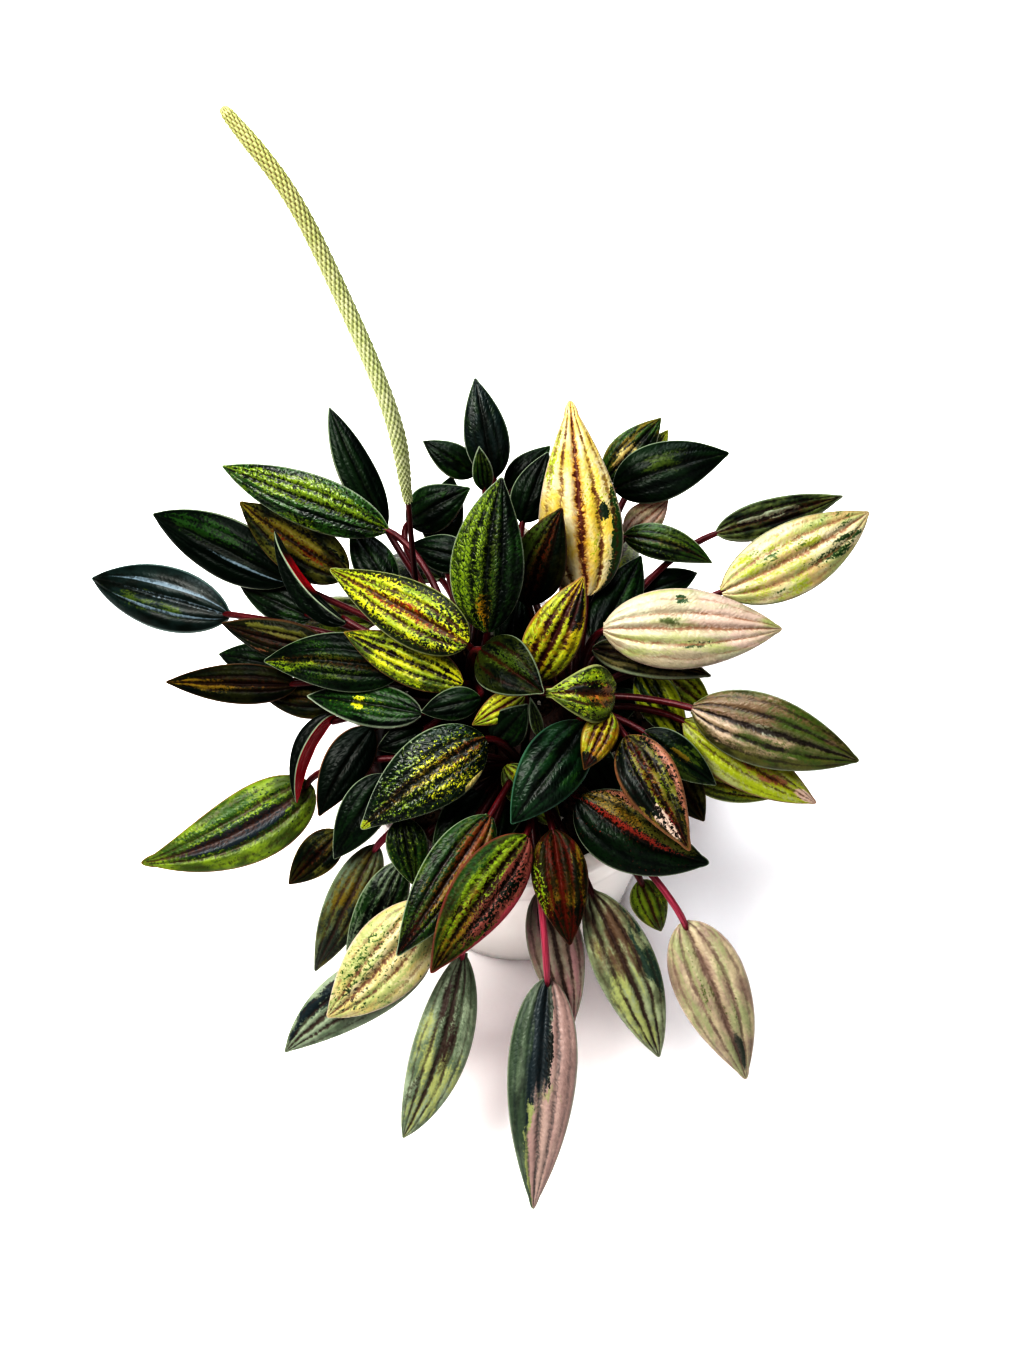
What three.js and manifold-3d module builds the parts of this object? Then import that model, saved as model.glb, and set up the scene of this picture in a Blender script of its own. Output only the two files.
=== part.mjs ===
// A potted variegated rosso peperomia: a dense rosette of lance-shaped leaves on red stalks, one tall
// flower spike, soil and a plain white pot. Millimetres, +Z up, origin under the middle of the pot.
import * as THREE from "three";
import { mergeVertices } from "three/addons/utils/BufferGeometryUtils.js";
import Module from "manifold-3d";

const wasm = await Module();
wasm.setup();

const GAP = 0.3;

// Pot and soil
const POT_HEIGHT = 85;
const POT_TOP_RADIUS = 50;
const POT_FOOT_RADIUS = 36;
const POT_WALL = 4;
const POT_FLOOR = 6;
const RIM_BAND = 12;
const RIM_OUT = 2;
const POT_SIDES = 30;
const DRAIN_RADIUS = 4;
const DRAIN_CIRCLE = 18;
const DRAIN_COUNT = 3;
const SOIL_TOP = 76;
const SOIL_RINGS = [11, 22, 34];
const SOIL_SIDES = 20;
const SOIL_BUMP = 1.1;

// Stems: three short branches of one root crown, each with the place of its top
const CROWN_RADIUS = 7;
const CROWN_DEPTH = 12;
const CROWN_TOP = 82;
const STEM_SIDES = 6;
const STEM_LEAN = 0.85;
const STEM_TAPER = 0.25;
const STEM_RADIUS = 4.6;
const STEMS = {
  left: new THREE.Vector3(-16, 12, 98),
  right: new THREE.Vector3(17, 6, 98),
  front: new THREE.Vector3(1, -17, 98),
};

// Leaf blades and their stalks
const BLADE_THICK = 1.1;
const RIDGE = 0.1;
const MARGIN_DROP = 0.2;
const OUTLINE_POWER = 1.5;
const WIDEST = 0.38;
const PETIOLE_FOOT_RADIUS = 1.25;
const PETIOLE_END_RADIUS = 1.1;
const PETIOLE_SIDES = 3;
const PETIOLE_STEPS = 4;
const PETIOLE_STEPS_SMALL = 2;
const PETIOLE_INTO_BLADE = 1.5;
const PETIOLE_RISE = 0.35;
const PETIOLE_DROOP = 4;
const OVER_RIM = POT_HEIGHT + 7;
const OVER_STEEPNESS = 1.3;
const LOWEST_ROOT = 0.45;
const HIGHEST_ROOT = 0.97;

// Leaves that the picture hides: a ring low at the back, and a ring over the soil
const BACK_COUNT = 10;
const BACK_FROM = 40;
const BACK_STEP = 12.5;
const INNER_COUNT = 3;

// Flower spike
const SPIKE_RADIUS = 2.15;
const SPIKE_FOOT_RADIUS = 1.15;
const SPIKE_TIP_RADIUS = 1.5;
const SPIKE_SIDES = 8;
const SPIKE_STEPS = 26;
const SPIKE_FOOT_SHARE = 0.22;
const SPIKE_TIP_SHARE = 0.16;
const FLORET_BUMP = 0.3;
const STALK_RADIUS = 1.15;
const STALK_SIDES = 6;
const STALK_STEPS = 9;

// The picture that the leaves are placed by: 1024 x 1365 pixels, seen from in front and above.
// A place is given as its pixel across, its pixel down and its real height in millimetres.
const PICTURE_CENTRE = [512, 682.5];
const MM_PER_PIXEL = 0.3;
const VIEW_DISTANCE = 900;
const VIEW_ELEVATION = THREE.MathUtils.degToRad(60);
const VIEW_TARGET = new THREE.Vector3(-2.4, 10, 100);
const VIEW_FORWARD = new THREE.Vector3(0, Math.cos(VIEW_ELEVATION), -Math.sin(VIEW_ELEVATION));
const VIEW_UP = new THREE.Vector3(0, Math.sin(VIEW_ELEVATION), Math.cos(VIEW_ELEVATION));
const EYE = VIEW_TARGET.clone().addScaledVector(VIEW_FORWARD, -VIEW_DISTANCE);
const TO_VIEWER = VIEW_FORWARD.clone().negate();

function atPixel([px, py, height]) {
  const ray = VIEW_FORWARD.clone()
    .multiplyScalar(VIEW_DISTANCE)
    .addScaledVector(new THREE.Vector3(1, 0, 0), (px - PICTURE_CENTRE[0]) * MM_PER_PIXEL)
    .addScaledVector(VIEW_UP, (PICTURE_CENTRE[1] - py) * MM_PER_PIXEL);
  return EYE.clone().addScaledVector(ray, (height - EYE.z) / ray.z);
}

const COLOURS = {
  dark: 0x1d3a22,
  green: 0x3f6b2c,
  lime: 0x9fb23a,
  yellow: 0xc9bf2e,
  cream: 0xe3cfa9,
  pink: 0xcfa39a,
  olive: 0x6d6a3a,
  grey: 0x71805f,
  stalk: 0x8c2330,
  spike: 0xc3cf94,
  pot: 0xf2f0ea,
  soil: 0x3a2a20,
};

// Each leaf: name, stem, base and tip in the picture, width in mm, colour, and how it lies.
// turn rolls it about its length (positive lifts its right margin, seen from base to tip), arch and
// sway bow it up and to its right, fold lifts both halves, rise is how far its stalk climbs before it
// leans out, all in degrees or mm. widest is the share of its length at which it is widest. Fine
// leaves have more facets. Small ones have fewer and are joined to the stems.
const LEAVES = [
  // left
  ["left_1", "left", [388, 530, 116], [222, 466, 120], 16.5, "green",
    { fine: 1, arch: 4, turn: 8, widest: 0.42 }],
  ["left_2", "left", [386, 528, 98], [329, 407, 118], 12, "dark",
    { arch: 3, turn: -12, sway: -1.2, widest: 0.42 }],
  ["left_3", "left", [348, 575, 102], [240, 502, 104], 18, "olive", { arch: 3, sway: -1 }],
  ["left_4", "left", [290, 582, 94], [153, 514, 94], 19, "dark",
    { fine: 1, arch: 4, turn: 10, sway: 1, widest: 0.42 }],
  ["left_5", "left", [230, 616, 90], [92, 578, 82], 20, "dark", { arch: 4, widest: 0.43 }],
  ["left_6", "left", [312, 618, 88], [240, 585, 84], 12, "dark", { small: 1, arch: 2 }],
  ["left_7", "left", [347, 622, 109], [275, 531, 113], 16, "dark", { arch: 2, turn: 62, fold: 45 }],
  ["left_8", "left", [330, 650, 101], [222, 623, 97], 13, "olive", { arch: 3, turn: 20 }],
  ["left_9", "left", [402, 671, 106.4], [264, 661, 97.4], 18, "green", { fine: 1, arch: 4, sway: 1.5 }],
  ["left_10", "left", [297, 685, 90], [166, 682, 82], 12.5, "olive", { arch: 3 }],
  ["left_11", "left", [290, 668, 84], [219, 654, 80], 12, "dark", { small: 1, arch: 2 }],
  ["left_12", "left", [392, 592, 100], [351, 527, 104], 13, "dark", { small: 1, arch: 2 }],
  ["left_13", "left", [340, 700, 88], [262, 694, 80], 13, "olive", { small: 1, arch: 2, rise: 2 }],
  ["left_14", "left", [422, 714, 101.9], [307, 696, 91.2], 13.5, "dark", { arch: 3, turn: -10 }],
  // crown
  ["crown_1", "left", [468, 644, 126], [330, 569, 124], 19, "yellow", { fine: 1, arch: 4, widest: 0.34 }],
  ["crown_2", "left", [463, 684, 112.5], [344, 632, 111.5], 14.5, "lime",
    { fine: 1, arch: 3, turn: 5, widest: 0.4 }],
  ["crown_3", "left", [488, 632, 120], [502, 477, 150], 22, "green",
    { fine: 1, arch: 3, sway: -2, widest: 0.4 }],
  ["crown_4", "right", [528, 605, 112], [562, 508, 136], 17, "olive", { arch: 3, sway: -1.2 }],
  ["crown_5", "right", [586, 596, 110], [570, 400, 143], 25.5, "cream", { fine: 1, arch: 4, widest: 0.32 }],
  ["crown_6", "right", [532, 680, 116], [584, 576, 136], 16.5, "yellow", { fine: 1, arch: 2 }],
  ["crown_7", "left", [482, 650, 131], [544, 693, 137], 18, "dark", { arch: 2, fold: 15 }],
  ["crown_8", "right", [546, 693, 134], [615, 694, 124], 17, "lime", { fine: 1, arch: 7 }],
  ["crown_9", "front", [524, 694, 117], [472, 725, 112], 9, "yellow", { small: 1, arch: 2 }],
  ["crown_10", "front", [496, 742, 106], [528, 704, 120], 12, "dark", { small: 1, arch: 2 }],
  ["crown_11", "left", [480, 698, 112], [421, 712, 108], 10, "dark", { small: 1, arch: 2 }],
  ["crown_12", "front", [485, 738, 116], [361, 829, 100], 22, "green",
    { fine: 1, arch: 5, sway: 1.5, widest: 0.35 }],
  ["crown_13", "left", [425, 730, 95], [377, 749, 91], 9.5, "dark", { small: 1, arch: 2 }],
  ["crown_14", "front", [585, 722, 117], [511, 824, 110], 19, "dark", { fine: 1, arch: 5, widest: 0.42 }],
  ["crown_15", "front", [610, 712, 126], [584, 770, 120], 10.5, "yellow", { arch: 2 }],
  ["crown_16", "front", [540, 736, 112], [530, 697, 124], 4, "green", { small: 1, arch: 1 }],
  ["crown_17", "right", [596, 645, 103], [641, 556, 105], 15, "dark", { small: 1, hidden: 1, arch: 2 }],
  ["crown_18", "front", [578, 742, 103], [620, 805, 97], 13, "dark", { small: 1, hidden: 1, arch: 2 }],
  ["crown_19", "front", [486, 792, 96], [432, 856, 90], 14, "dark", { small: 1, hidden: 1, arch: 2 }],
  ["crown_20", "right", [506, 652, 102], [520, 592, 106], 11, "dark", { small: 1, hidden: 1, arch: 2 }],
  // back
  ["back_1", "left", [494, 478, 108], [475, 378, 126], 14, "dark", { arch: 3 }],
  ["back_2", "left", [476, 474, 100], [423, 441, 106], 10.5, "dark", { arch: 2 }],
  ["back_3", "left", [485, 490, 114], [479, 446, 126], 6.5, "green", { small: 1, arch: 1 }],
  ["back_4", "left", [408, 522, 94], [470, 488, 106], 15, "dark", { small: 1, arch: 3 }],
  ["back_5", "left", [470, 560, 100], [410, 545, 98], 12, "dark", { small: 1, arch: 2 }],
  ["back_10", "left", [436, 548, 90], [452, 476, 93], 13, "dark", { small: 1, hidden: 1, arch: 2 }],
  ["back_6", "right", [508, 492, 100], [550, 446, 108], 11, "dark", { small: 1, arch: 2 }],
  ["back_7", "right", [522, 522, 108], [548, 452, 120], 13, "dark", { arch: 2 }],
  ["back_8", "right", [606, 480, 106], [661, 418, 116], 13, "green", { arch: 3 }],
  ["back_9", "right", [636, 478, 104], [668, 430, 110], 8, "lime", { small: 1, arch: 2 }],
  // right
  ["right_1", "right", [614, 489, 112], [729, 453, 118], 18, "dark", { fine: 1, arch: 4, sway: -0.8 }],
  ["right_2", "right", [626, 536, 102], [668, 500, 106], 11, "cream", { small: 1, arch: 2 }],
  ["right_3", "right", [624, 536, 108], [712, 563, 102], 11, "green", { arch: 3, sway: -1.5 }],
  ["right_4", "right", [716, 533, 102], [843, 496, 104], 12, "olive", { arch: 3, turn: 10, sway: 0.5 }],
  ["right_5", "right", [721, 592, 110], [869, 512, 112], 22, "cream",
    { fine: 1, arch: 4, sway: 1.5, widest: 0.43 }],
  ["right_6", "right", [603, 629, 122], [782, 629, 116], 24, "cream", { fine: 1, arch: 5, widest: 0.4 }],
  ["right_7", "right", [640, 594, 98], [697, 573, 96], 10, "dark", { small: 1, arch: 2 }],
  ["right_8", "right", [592, 649, 110], [711, 676, 104], 12, "olive", { arch: 3, turn: 20 }],
  ["right_9", "right", [662, 672, 96], [712, 712, 90], 12, "lime", { small: 1, arch: 2 }],
  ["right_10", "right", [640, 672, 99], [686, 745, 88], 13, "green", { arch: 2 }],
  ["right_11", "right", [692, 708, 108], [859, 761, 98], 21.5, "pink", { fine: 1, arch: 5, widest: 0.4 }],
  ["right_12", "right", [684, 721, 98], [816, 803, 87], 17, "lime",
    { fine: 1, arch: 4, widest: 0.4, sway: 0.8 }],
  ["right_13", "right", [690, 776, 86], [776, 797, 78], 10, "lime", { small: 1, arch: 2 }],
  ["right_14", "right", [644, 732, 104], [716, 785, 94], 12, "dark", { arch: 3 }],
  ["right_15", "right", [668, 764, 92], [704, 821, 82], 12, "olive", { small: 1, arch: 2 }],
  ["right_16", "right", [626, 737, 121], [690, 851, 111], 17, "pink", { fine: 1, arch: 4, widest: 0.34 }],
  ["right_17", "front", [579, 798, 108], [709, 863, 97], 22, "dark",
    { fine: 1, arch: 5, sway: 3, widest: 0.36 }],
  // front
  ["front_1", "front", [311, 784, 71], [141, 863, 57], 22.5, "lime",
    { fine: 1, arch: 5, sway: -4, rise: 8, widest: 0.33 }],
  ["front_2", "left", [336, 716, 88], [297, 803, 74], 15, "dark",
    { arch: 2, turn: -68, fold: 50, rise: 2 }],
  ["front_3", "left", [372, 728, 95.8], [319, 816, 83.5], 14, "dark", { arch: 3, rise: -4, sway: 1 }],
  ["front_4", "front", [385, 775, 100], [334, 859, 84], 14, "dark", { arch: 3 }],
  ["front_5", "front", [340, 832, 76], [289, 884, 64], 12, "olive", { small: 1, arch: 2 }],
  ["front_6", "front", [377, 845, 82], [315, 971, 52], 14, "grey", { arch: 4 }],
  ["front_7", "front", [402, 862, 84], [348, 975, 56], 14, "green", { arch: 4 }],
  ["front_8", "front", [430, 962, 66], [285, 1052, 44], 18, "grey", { arch: 4, sway: 3.5, widest: 0.42 }],
  ["front_9", "front", [430, 900, 84], [327, 1017, 62], 23, "cream",
    { fine: 1, arch: 4, sway: -2, widest: 0.42 }],
  ["front_10", "front", [490, 816, 103], [397, 956, 86], 18, "green", { fine: 1, arch: 4 }],
  ["front_11", "front", [527, 836, 106], [431, 973, 88], 19, "olive", { fine: 1, arch: 5, sway: 1 }],
  ["front_12", "front", [463, 952, 68], [403, 1138, 32], 17, "grey",
    { fine: 1, arch: 5, sway: -2.5, widest: 0.46 }],
  ["front_13", "front", [548, 978, 72], [533, 1209, 30], 20.5, "grey", { fine: 1, arch: 6, widest: 0.37 }],
  ["front_14", "front", [543, 888, 84], [573, 1024, 54], 16.5, "grey", { arch: 4 }],
  ["front_15", "front", [553, 830, 104], [570, 945, 88], 16.5, "olive", { arch: 4 }],
  ["front_16", "front", [590, 891, 90], [659, 1057, 56], 18.5, "green",
    { fine: 1, arch: 5, sway: -1.2, widest: 0.42 }],
  ["front_17", "front", [683, 922, 78], [746, 1079, 46], 22, "cream",
    { fine: 1, arch: 5, widest: 0.36, sway: -0.8 }],
  ["front_18", "front", [640, 880, 80], [661, 931, 68], 11, "lime", { small: 1, arch: 2 }],
  ["front_19", "front", [402, 818, 98], [415, 886, 86], 12.5, "green", { arch: 2 }],
  ["front_20", "front", [505, 766, 102], [562, 829, 92], 12, "lime", { small: 1, arch: 2 }],
];

// A leaf between two points whose upper side is turned to the given direction, with its own frame.
function leafBetween(name, stem, start, end, towards, width, colour, how) {
  const along = end.clone().sub(start);
  const length = along.length();
  along.normalize();
  const face = towards.clone().addScaledVector(along, -towards.dot(along)).normalize();
  face.applyAxisAngle(along, THREE.MathUtils.degToRad(-(how.turn ?? 0)));
  const side = along.clone().cross(face);
  const fold = Math.tan(THREE.MathUtils.degToRad(how.fold ?? 0));
  const settings = { arch: 0, sway: 0, widest: WIDEST, ...how, fold };
  return { name, stem, start, length, along, face, side, width, colour, ...settings };
}

function leafFromRow([name, stem, base, tip, width, colour, how]) {
  return leafBetween(name, stem, atPixel(base), atPixel(tip), TO_VIEWER, width, colour, how);
}

// A point round the pot's axis
function around(degrees, radius, height) {
  const angle = THREE.MathUtils.degToRad(degrees);
  return new THREE.Vector3(radius * Math.cos(angle), radius * Math.sin(angle), height);
}

// The leaves that hang over the pot's rim at the back, which the picture doesn't show.
function backLeaves() {
  const looks = ["green", "dark", "lime", "dark", "cream", "olive"];
  return Array.from({ length: BACK_COUNT }, (_, i) => {
    const bearing = BACK_FROM + BACK_STEP * i;
    const low = i % 2;
    const start = around(bearing, 57 + 3 * low, 92 - 10 * low);
    const end = around(bearing + 5 - 10 * low, 91 - 6 * low + 3 * (i % 3), 58 - 16 * low);
    const towards = around(bearing, 0.6, 0.8);
    const stem = bearing < 90 ? "right" : "left";
    const how = { small: 1, hidden: 1, arch: 4 };
    const width = 15 + 2 * (i % 3);
    return leafBetween(`ring_${i + 1}`, stem, start, end, towards, width, looks[i % looks.length], how);
  });
}

// Dark leaves low over the soil, in the shade of the others
function innerLeaves() {
  return Array.from({ length: INNER_COUNT }, (_, i) => {
    const bearing = 12 + (360 / INNER_COUNT) * i;
    const start = around(bearing, 16, 84);
    const end = around(bearing + 8, 41, 86 - 2 * (i % 2));
    const towards = around(bearing, 0.2, 1);
    const stem = bearing < 75 || bearing > 310 ? "right" : bearing < 210 ? "left" : "front";
    const how = { small: 1, hidden: 1, arch: 3 };
    return leafBetween(`inner_${i + 1}`, stem, start, end, towards, 15, "dark", how);
  });
}

// The spine's point and frame at t, from 0 at the base to 1 at the tip.
function spineAt(leaf, t) {
  const bow = 4 * t * (1 - t);
  const slope = 4 * (1 - 2 * t);
  const point = leaf.start
    .clone()
    .addScaledVector(leaf.along, leaf.length * t)
    .addScaledVector(leaf.face, leaf.arch * bow)
    .addScaledVector(leaf.side, leaf.sway * bow);
  const ahead = leaf.along
    .clone()
    .multiplyScalar(leaf.length)
    .addScaledVector(leaf.face, leaf.arch * slope)
    .addScaledVector(leaf.side, leaf.sway * slope)
    .normalize();
  const up = leaf.face.clone().addScaledVector(ahead, -leaf.face.dot(ahead)).normalize();
  return { point, ahead, up, side: ahead.clone().cross(up) };
}

// Half of the blade's width at t, as a share of its widest: round at the base, pointed at the tip.
function outlineAt(leaf, t) {
  const raw = (s) => s ** (OUTLINE_POWER * leaf.widest) * (1 - s) ** (OUTLINE_POWER * (1 - leaf.widest));
  return raw(t) / raw(leaf.widest);
}

// Stations across a blade: sunken veins in the middle and at a place on each half, ridges between.
const ACROSS_FINE = [
  [0, 0],
  [0.21, 1],
  [0.43, 0.1],
  [0.68, 0.9],
  [1, 0],
];
const ACROSS_PLAIN = [
  [0, 0],
  [0.3, 1],
  [0.62, 0.2],
  [1, 0],
];
const ACROSS_SMALL = [
  [0, 0],
  [0.4, 1],
  [1, 0],
];
const ALONG_FINE = [0.06, 0.24, 0.5, 0.79];
const ALONG_PLAIN = [0.07, 0.25, 0.48, 0.75];
const ALONG_SMALL = [0.1, 0.4, 0.75];
const ALONG_HIDDEN = [0.12, 0.6];

function bothHalves(across) {
  const right = across.slice(1);
  const left = right.map(([q, ridge]) => [-q, ridge]).reverse();
  return [...left, ...across];
}

// A closed blade: an upper and a lower sheet of the same triangles, joined round the margin.
function bladeGeometry(leaf) {
  const across = bothHalves(leaf.fine ? ACROSS_FINE : leaf.small ? ACROSS_SMALL : ACROSS_PLAIN);
  const alongSmall = leaf.hidden ? ALONG_HIDDEN : ALONG_SMALL;
  const along = leaf.small ? alongSmall : leaf.fine ? ALONG_FINE : ALONG_PLAIN;
  const upper = [];
  const lower = [];
  const add = (point, up) => {
    upper.push(point.clone().addScaledVector(up, BLADE_THICK / 2));
    lower.push(point.clone().addScaledVector(up, -BLADE_THICK / 2));
  };
  const first = spineAt(leaf, 0);
  add(first.point, first.up);
  for (const t of along) {
    const { point, up, side } = spineAt(leaf, t);
    const half = (leaf.width / 2) * outlineAt(leaf, t);
    for (const [q, ridge] of across) {
      const lift = leaf.fold * Math.abs(q) + RIDGE * ridge - MARGIN_DROP * Math.abs(q) ** 3;
      const out = 1 / Math.hypot(1, leaf.fold);
      const place = point
        .clone()
        .addScaledVector(side, -q * half * out)
        .addScaledVector(up, lift * half * out);
      add(place, up);
    }
  }
  const last = spineAt(leaf, 1);
  add(last.point, last.up);

  const columns = across.length;
  const rows = along.length;
  const at = (row, column) => 1 + row * columns + column;
  const end = 1 + rows * columns;
  const sheet = [];
  for (let c = 0; c + 1 < columns; c++) {
    sheet.push([0, at(0, c + 1), at(0, c)]);
    for (let r = 0; r + 1 < rows; r++) {
      sheet.push([at(r, c), at(r, c + 1), at(r + 1, c + 1)]);
      sheet.push([at(r, c), at(r + 1, c + 1), at(r + 1, c)]);
    }
    sheet.push([at(rows - 1, c), at(rows - 1, c + 1), end]);
  }
  const count = upper.length;
  const faces = [];
  for (const [a, b, c] of sheet) {
    faces.push(a, b, c);
    faces.push(count + a, count + c, count + b);
  }
  const edge = [0];
  for (let r = 0; r < rows; r++) edge.push(at(r, 0));
  edge.push(end);
  for (let r = rows - 1; r >= 0; r--) edge.push(at(r, columns - 1));
  edge.forEach((a, i) => {
    const b = edge[(i + 1) % edge.length];
    faces.push(a, b, count + b);
    faces.push(a, count + b, count + a);
  });
  return closedGeometry([...upper, ...lower], faces);
}

// A geometry from points and triangles, turned so that its faces point out.
function closedGeometry(points, faces) {
  let volume = 0;
  for (let i = 0; i < faces.length; i += 3) {
    const [a, b, c] = [points[faces[i]], points[faces[i + 1]], points[faces[i + 2]]];
    volume += a.dot(b.clone().cross(c));
  }
  const index = volume < 0 ? faces.slice().reverse() : faces;
  const geometry = new THREE.BufferGeometry().setFromPoints(points);
  geometry.setIndex(index);
  return geometry;
}

// A closed tube along a curve. radiusAt gives its radius at t, and an angle round it.
function tubeGeometry(curve, sides, steps, radiusAt, from = 0, to = 1) {
  const points = [];
  const faces = [];
  let up = new THREE.Vector3(0.3, 0.2, 1).normalize();
  for (let i = 0; i <= steps; i++) {
    const t = from + ((to - from) * i) / steps;
    const centre = curve.getPoint(t);
    const ahead = curve.getTangent(t);
    if (Math.abs(up.dot(ahead)) > 0.98) up = new THREE.Vector3(1, 0.3, 0).normalize();
    up = up.clone().addScaledVector(ahead, -up.dot(ahead)).normalize();
    const side = ahead.clone().cross(up);
    for (let s = 0; s < sides; s++) {
      const angle = (2 * Math.PI * s) / sides;
      const r = radiusAt(i / steps, angle, i, s);
      const place = centre
        .clone()
        .addScaledVector(up, r * Math.cos(angle))
        .addScaledVector(side, r * Math.sin(angle));
      points.push(place);
    }
  }
  for (let i = 0; i < steps; i++) {
    for (let s = 0; s < sides; s++) {
      const a = i * sides + s;
      const b = i * sides + ((s + 1) % sides);
      faces.push(a, b, b + sides, a, b + sides, a + sides);
    }
  }
  for (let s = 1; s + 1 < sides; s++) {
    faces.push(0, s + 1, s);
    faces.push(steps * sides, steps * sides + s, steps * sides + s + 1);
  }
  return closedGeometry(points, faces);
}

// Solids for joining and cutting
function solidOf(geometry) {
  const plain = geometry.clone();
  plain.deleteAttribute("normal");
  plain.deleteAttribute("uv");
  const merged = mergeVertices(plain, 1e-4);
  return new wasm.Manifold(
    new wasm.Mesh({
      numProp: 3,
      vertProperties: new Float32Array(merged.attributes.position.array),
      triVerts: new Uint32Array(merged.index.array),
    }),
  );
}

function geometryOf(solid) {
  const mesh = solid.getMesh();
  const geometry = new THREE.BufferGeometry();
  const places = new Float32Array(mesh.numVert * 3);
  for (let i = 0; i < mesh.numVert; i++) {
    places.set(mesh.vertProperties.subarray(i * mesh.numProp, i * mesh.numProp + 3), i * 3);
  }
  geometry.setAttribute("position", new THREE.BufferAttribute(places, 3));
  geometry.setIndex(new THREE.BufferAttribute(new Uint32Array(mesh.triVerts), 1));
  return geometry;
}

function named(name, geometry, colour, roughness = 0.45) {
  geometry.computeVertexNormals();
  const material = new THREE.MeshStandardMaterial({ color: COLOURS[colour], roughness, metalness: 0 });
  const mesh = new THREE.Mesh(geometry, material);
  mesh.name = name;
  return mesh;
}

// A petiole from its stem up and over to the blade's base, clear of the pot's rim. Its end stops
// short of a separate blade and goes a little way into one that is joined to the stems.
function petioleCurve(leaf) {
  const root = stemCurve(leaf.stem).getPoint(THREE.MathUtils.lerp(LOWEST_ROOT, HIGHEST_ROOT, leaf.level));
  const over = OVER_STEEPNESS * Math.max(0, OVER_RIM - leaf.start.z);
  const { ahead } = spineAt(leaf, 0);
  const reach = leaf.small ? PETIOLE_INTO_BLADE : over > 0 ? -3 * GAP : -GAP;
  const end = leaf.start.clone().addScaledVector(ahead, reach);
  const span = end.distanceTo(root);
  const rise = leaf.rise ?? PETIOLE_RISE * span;
  const outward = new THREE.Vector3(end.x - root.x, end.y - root.y, 0);
  const before = end.clone().addScaledVector(ahead, -0.3 * span);
  if (over > 0) {
    before.copy(end).addScaledVector(outward.clone().normalize(), -PETIOLE_DROOP);
    before.z += over;
  }
  const after = root.clone().addScaledVector(outward, 0.15);
  after.z += rise;
  return new THREE.CubicBezierCurve3(root, after, before, end);
}

function petioleGeometry(leaf) {
  const radiusAt = (t) => THREE.MathUtils.lerp(PETIOLE_FOOT_RADIUS, PETIOLE_END_RADIUS, Math.sqrt(t));
  const steps = leaf.small ? PETIOLE_STEPS_SMALL : PETIOLE_STEPS;
  return tubeGeometry(petioleCurve(leaf), PETIOLE_SIDES, steps, radiusAt);
}

function stemCurve(name) {
  const top = STEMS[name];
  const foot = new THREE.Vector3(0, 0, CROWN_TOP - 5);
  const bend = new THREE.Vector3(top.x, top.y, 0).multiplyScalar(STEM_LEAN).setZ(foot.z + 6);
  return new THREE.QuadraticBezierCurve3(foot, bend, top);
}

// The stems in one piece: root crown, three branches, all the petioles, the flower stalk and the
// small leaves.
function stemsSolid(leaves) {
  const foot = SOIL_TOP - CROWN_DEPTH + GAP;
  const profile = [
    [0, foot],
    [CROWN_RADIUS - 1, foot],
    [CROWN_RADIUS, foot + 3],
    [CROWN_RADIUS, CROWN_TOP - 3],
    [CROWN_RADIUS - 2.5, CROWN_TOP],
    [0, CROWN_TOP],
  ].map(([r, z]) => new THREE.Vector2(r, z));
  let solid = solidOf(latheUp(profile, STEM_SIDES + 4));
  for (const name of Object.keys(STEMS)) {
    const radiusAt = (t) => STEM_RADIUS * (1 - STEM_TAPER * t);
    solid = solid.add(solidOf(tubeGeometry(stemCurve(name), STEM_SIDES, 3, radiusAt)));
  }
  for (const leaf of leaves) {
    solid = solid.add(solidOf(petioleGeometry(leaf)));
    if (leaf.small) solid = solid.add(solidOf(bladeGeometry(leaf)));
  }
  solid = solid.add(solidOf(stalkGeometry()));
  // Loose scraps and hollows sealed by the joining are dropped with all but the largest body.
  return solid.decompose().sort((a, b) => b.volume() - a.volume())[0];
}

// A lathe whose profile is (radius, height), with +Z up.
function latheUp(profile, sides) {
  return new THREE.LatheGeometry(profile, sides).rotateX(Math.PI / 2);
}

function potSolid() {
  const top = POT_HEIGHT;
  const rimOut = POT_TOP_RADIUS;
  const bodyOut = POT_TOP_RADIUS - RIM_OUT;
  const inTop = bodyOut - POT_WALL;
  const inFoot = POT_FOOT_RADIUS - POT_WALL;
  const profile = [
    [0, 0],
    [POT_FOOT_RADIUS - 1.5, 0],
    [POT_FOOT_RADIUS, 1.5],
    [bodyOut - 0.6, top - RIM_BAND - 1],
    [rimOut, top - RIM_BAND],
    [rimOut, top - 1.5],
    [rimOut - 1.5, top],
    [inTop + 1, top],
    [inTop, top - 1.5],
    [inFoot, POT_FLOOR + 2],
    [inFoot - 2, POT_FLOOR],
    [0, POT_FLOOR],
  ].map(([r, z]) => new THREE.Vector2(r, z));
  let solid = solidOf(latheUp(profile, POT_SIDES));
  for (let i = 0; i < DRAIN_COUNT; i++) {
    const angle = (2 * Math.PI * (i + 0.25)) / DRAIN_COUNT;
    const drain = new THREE.CylinderGeometry(DRAIN_RADIUS, DRAIN_RADIUS, POT_FLOOR * 3, 12)
      .rotateX(Math.PI / 2)
      .translate(DRAIN_CIRCLE * Math.cos(angle), DRAIN_CIRCLE * Math.sin(angle), POT_FLOOR / 2);
    solid = solid.subtract(solidOf(drain));
  }
  return solid;
}

// The pot's inner radius at a height, where the soil meets it.
function innerRadius(height) {
  const low = [POT_FLOOR + 2, POT_FOOT_RADIUS - POT_WALL];
  const high = [POT_HEIGHT - 1.5, POT_TOP_RADIUS - RIM_OUT - POT_WALL];
  return THREE.MathUtils.mapLinear(height, low[0], high[0], low[1], high[1]);
}

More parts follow.
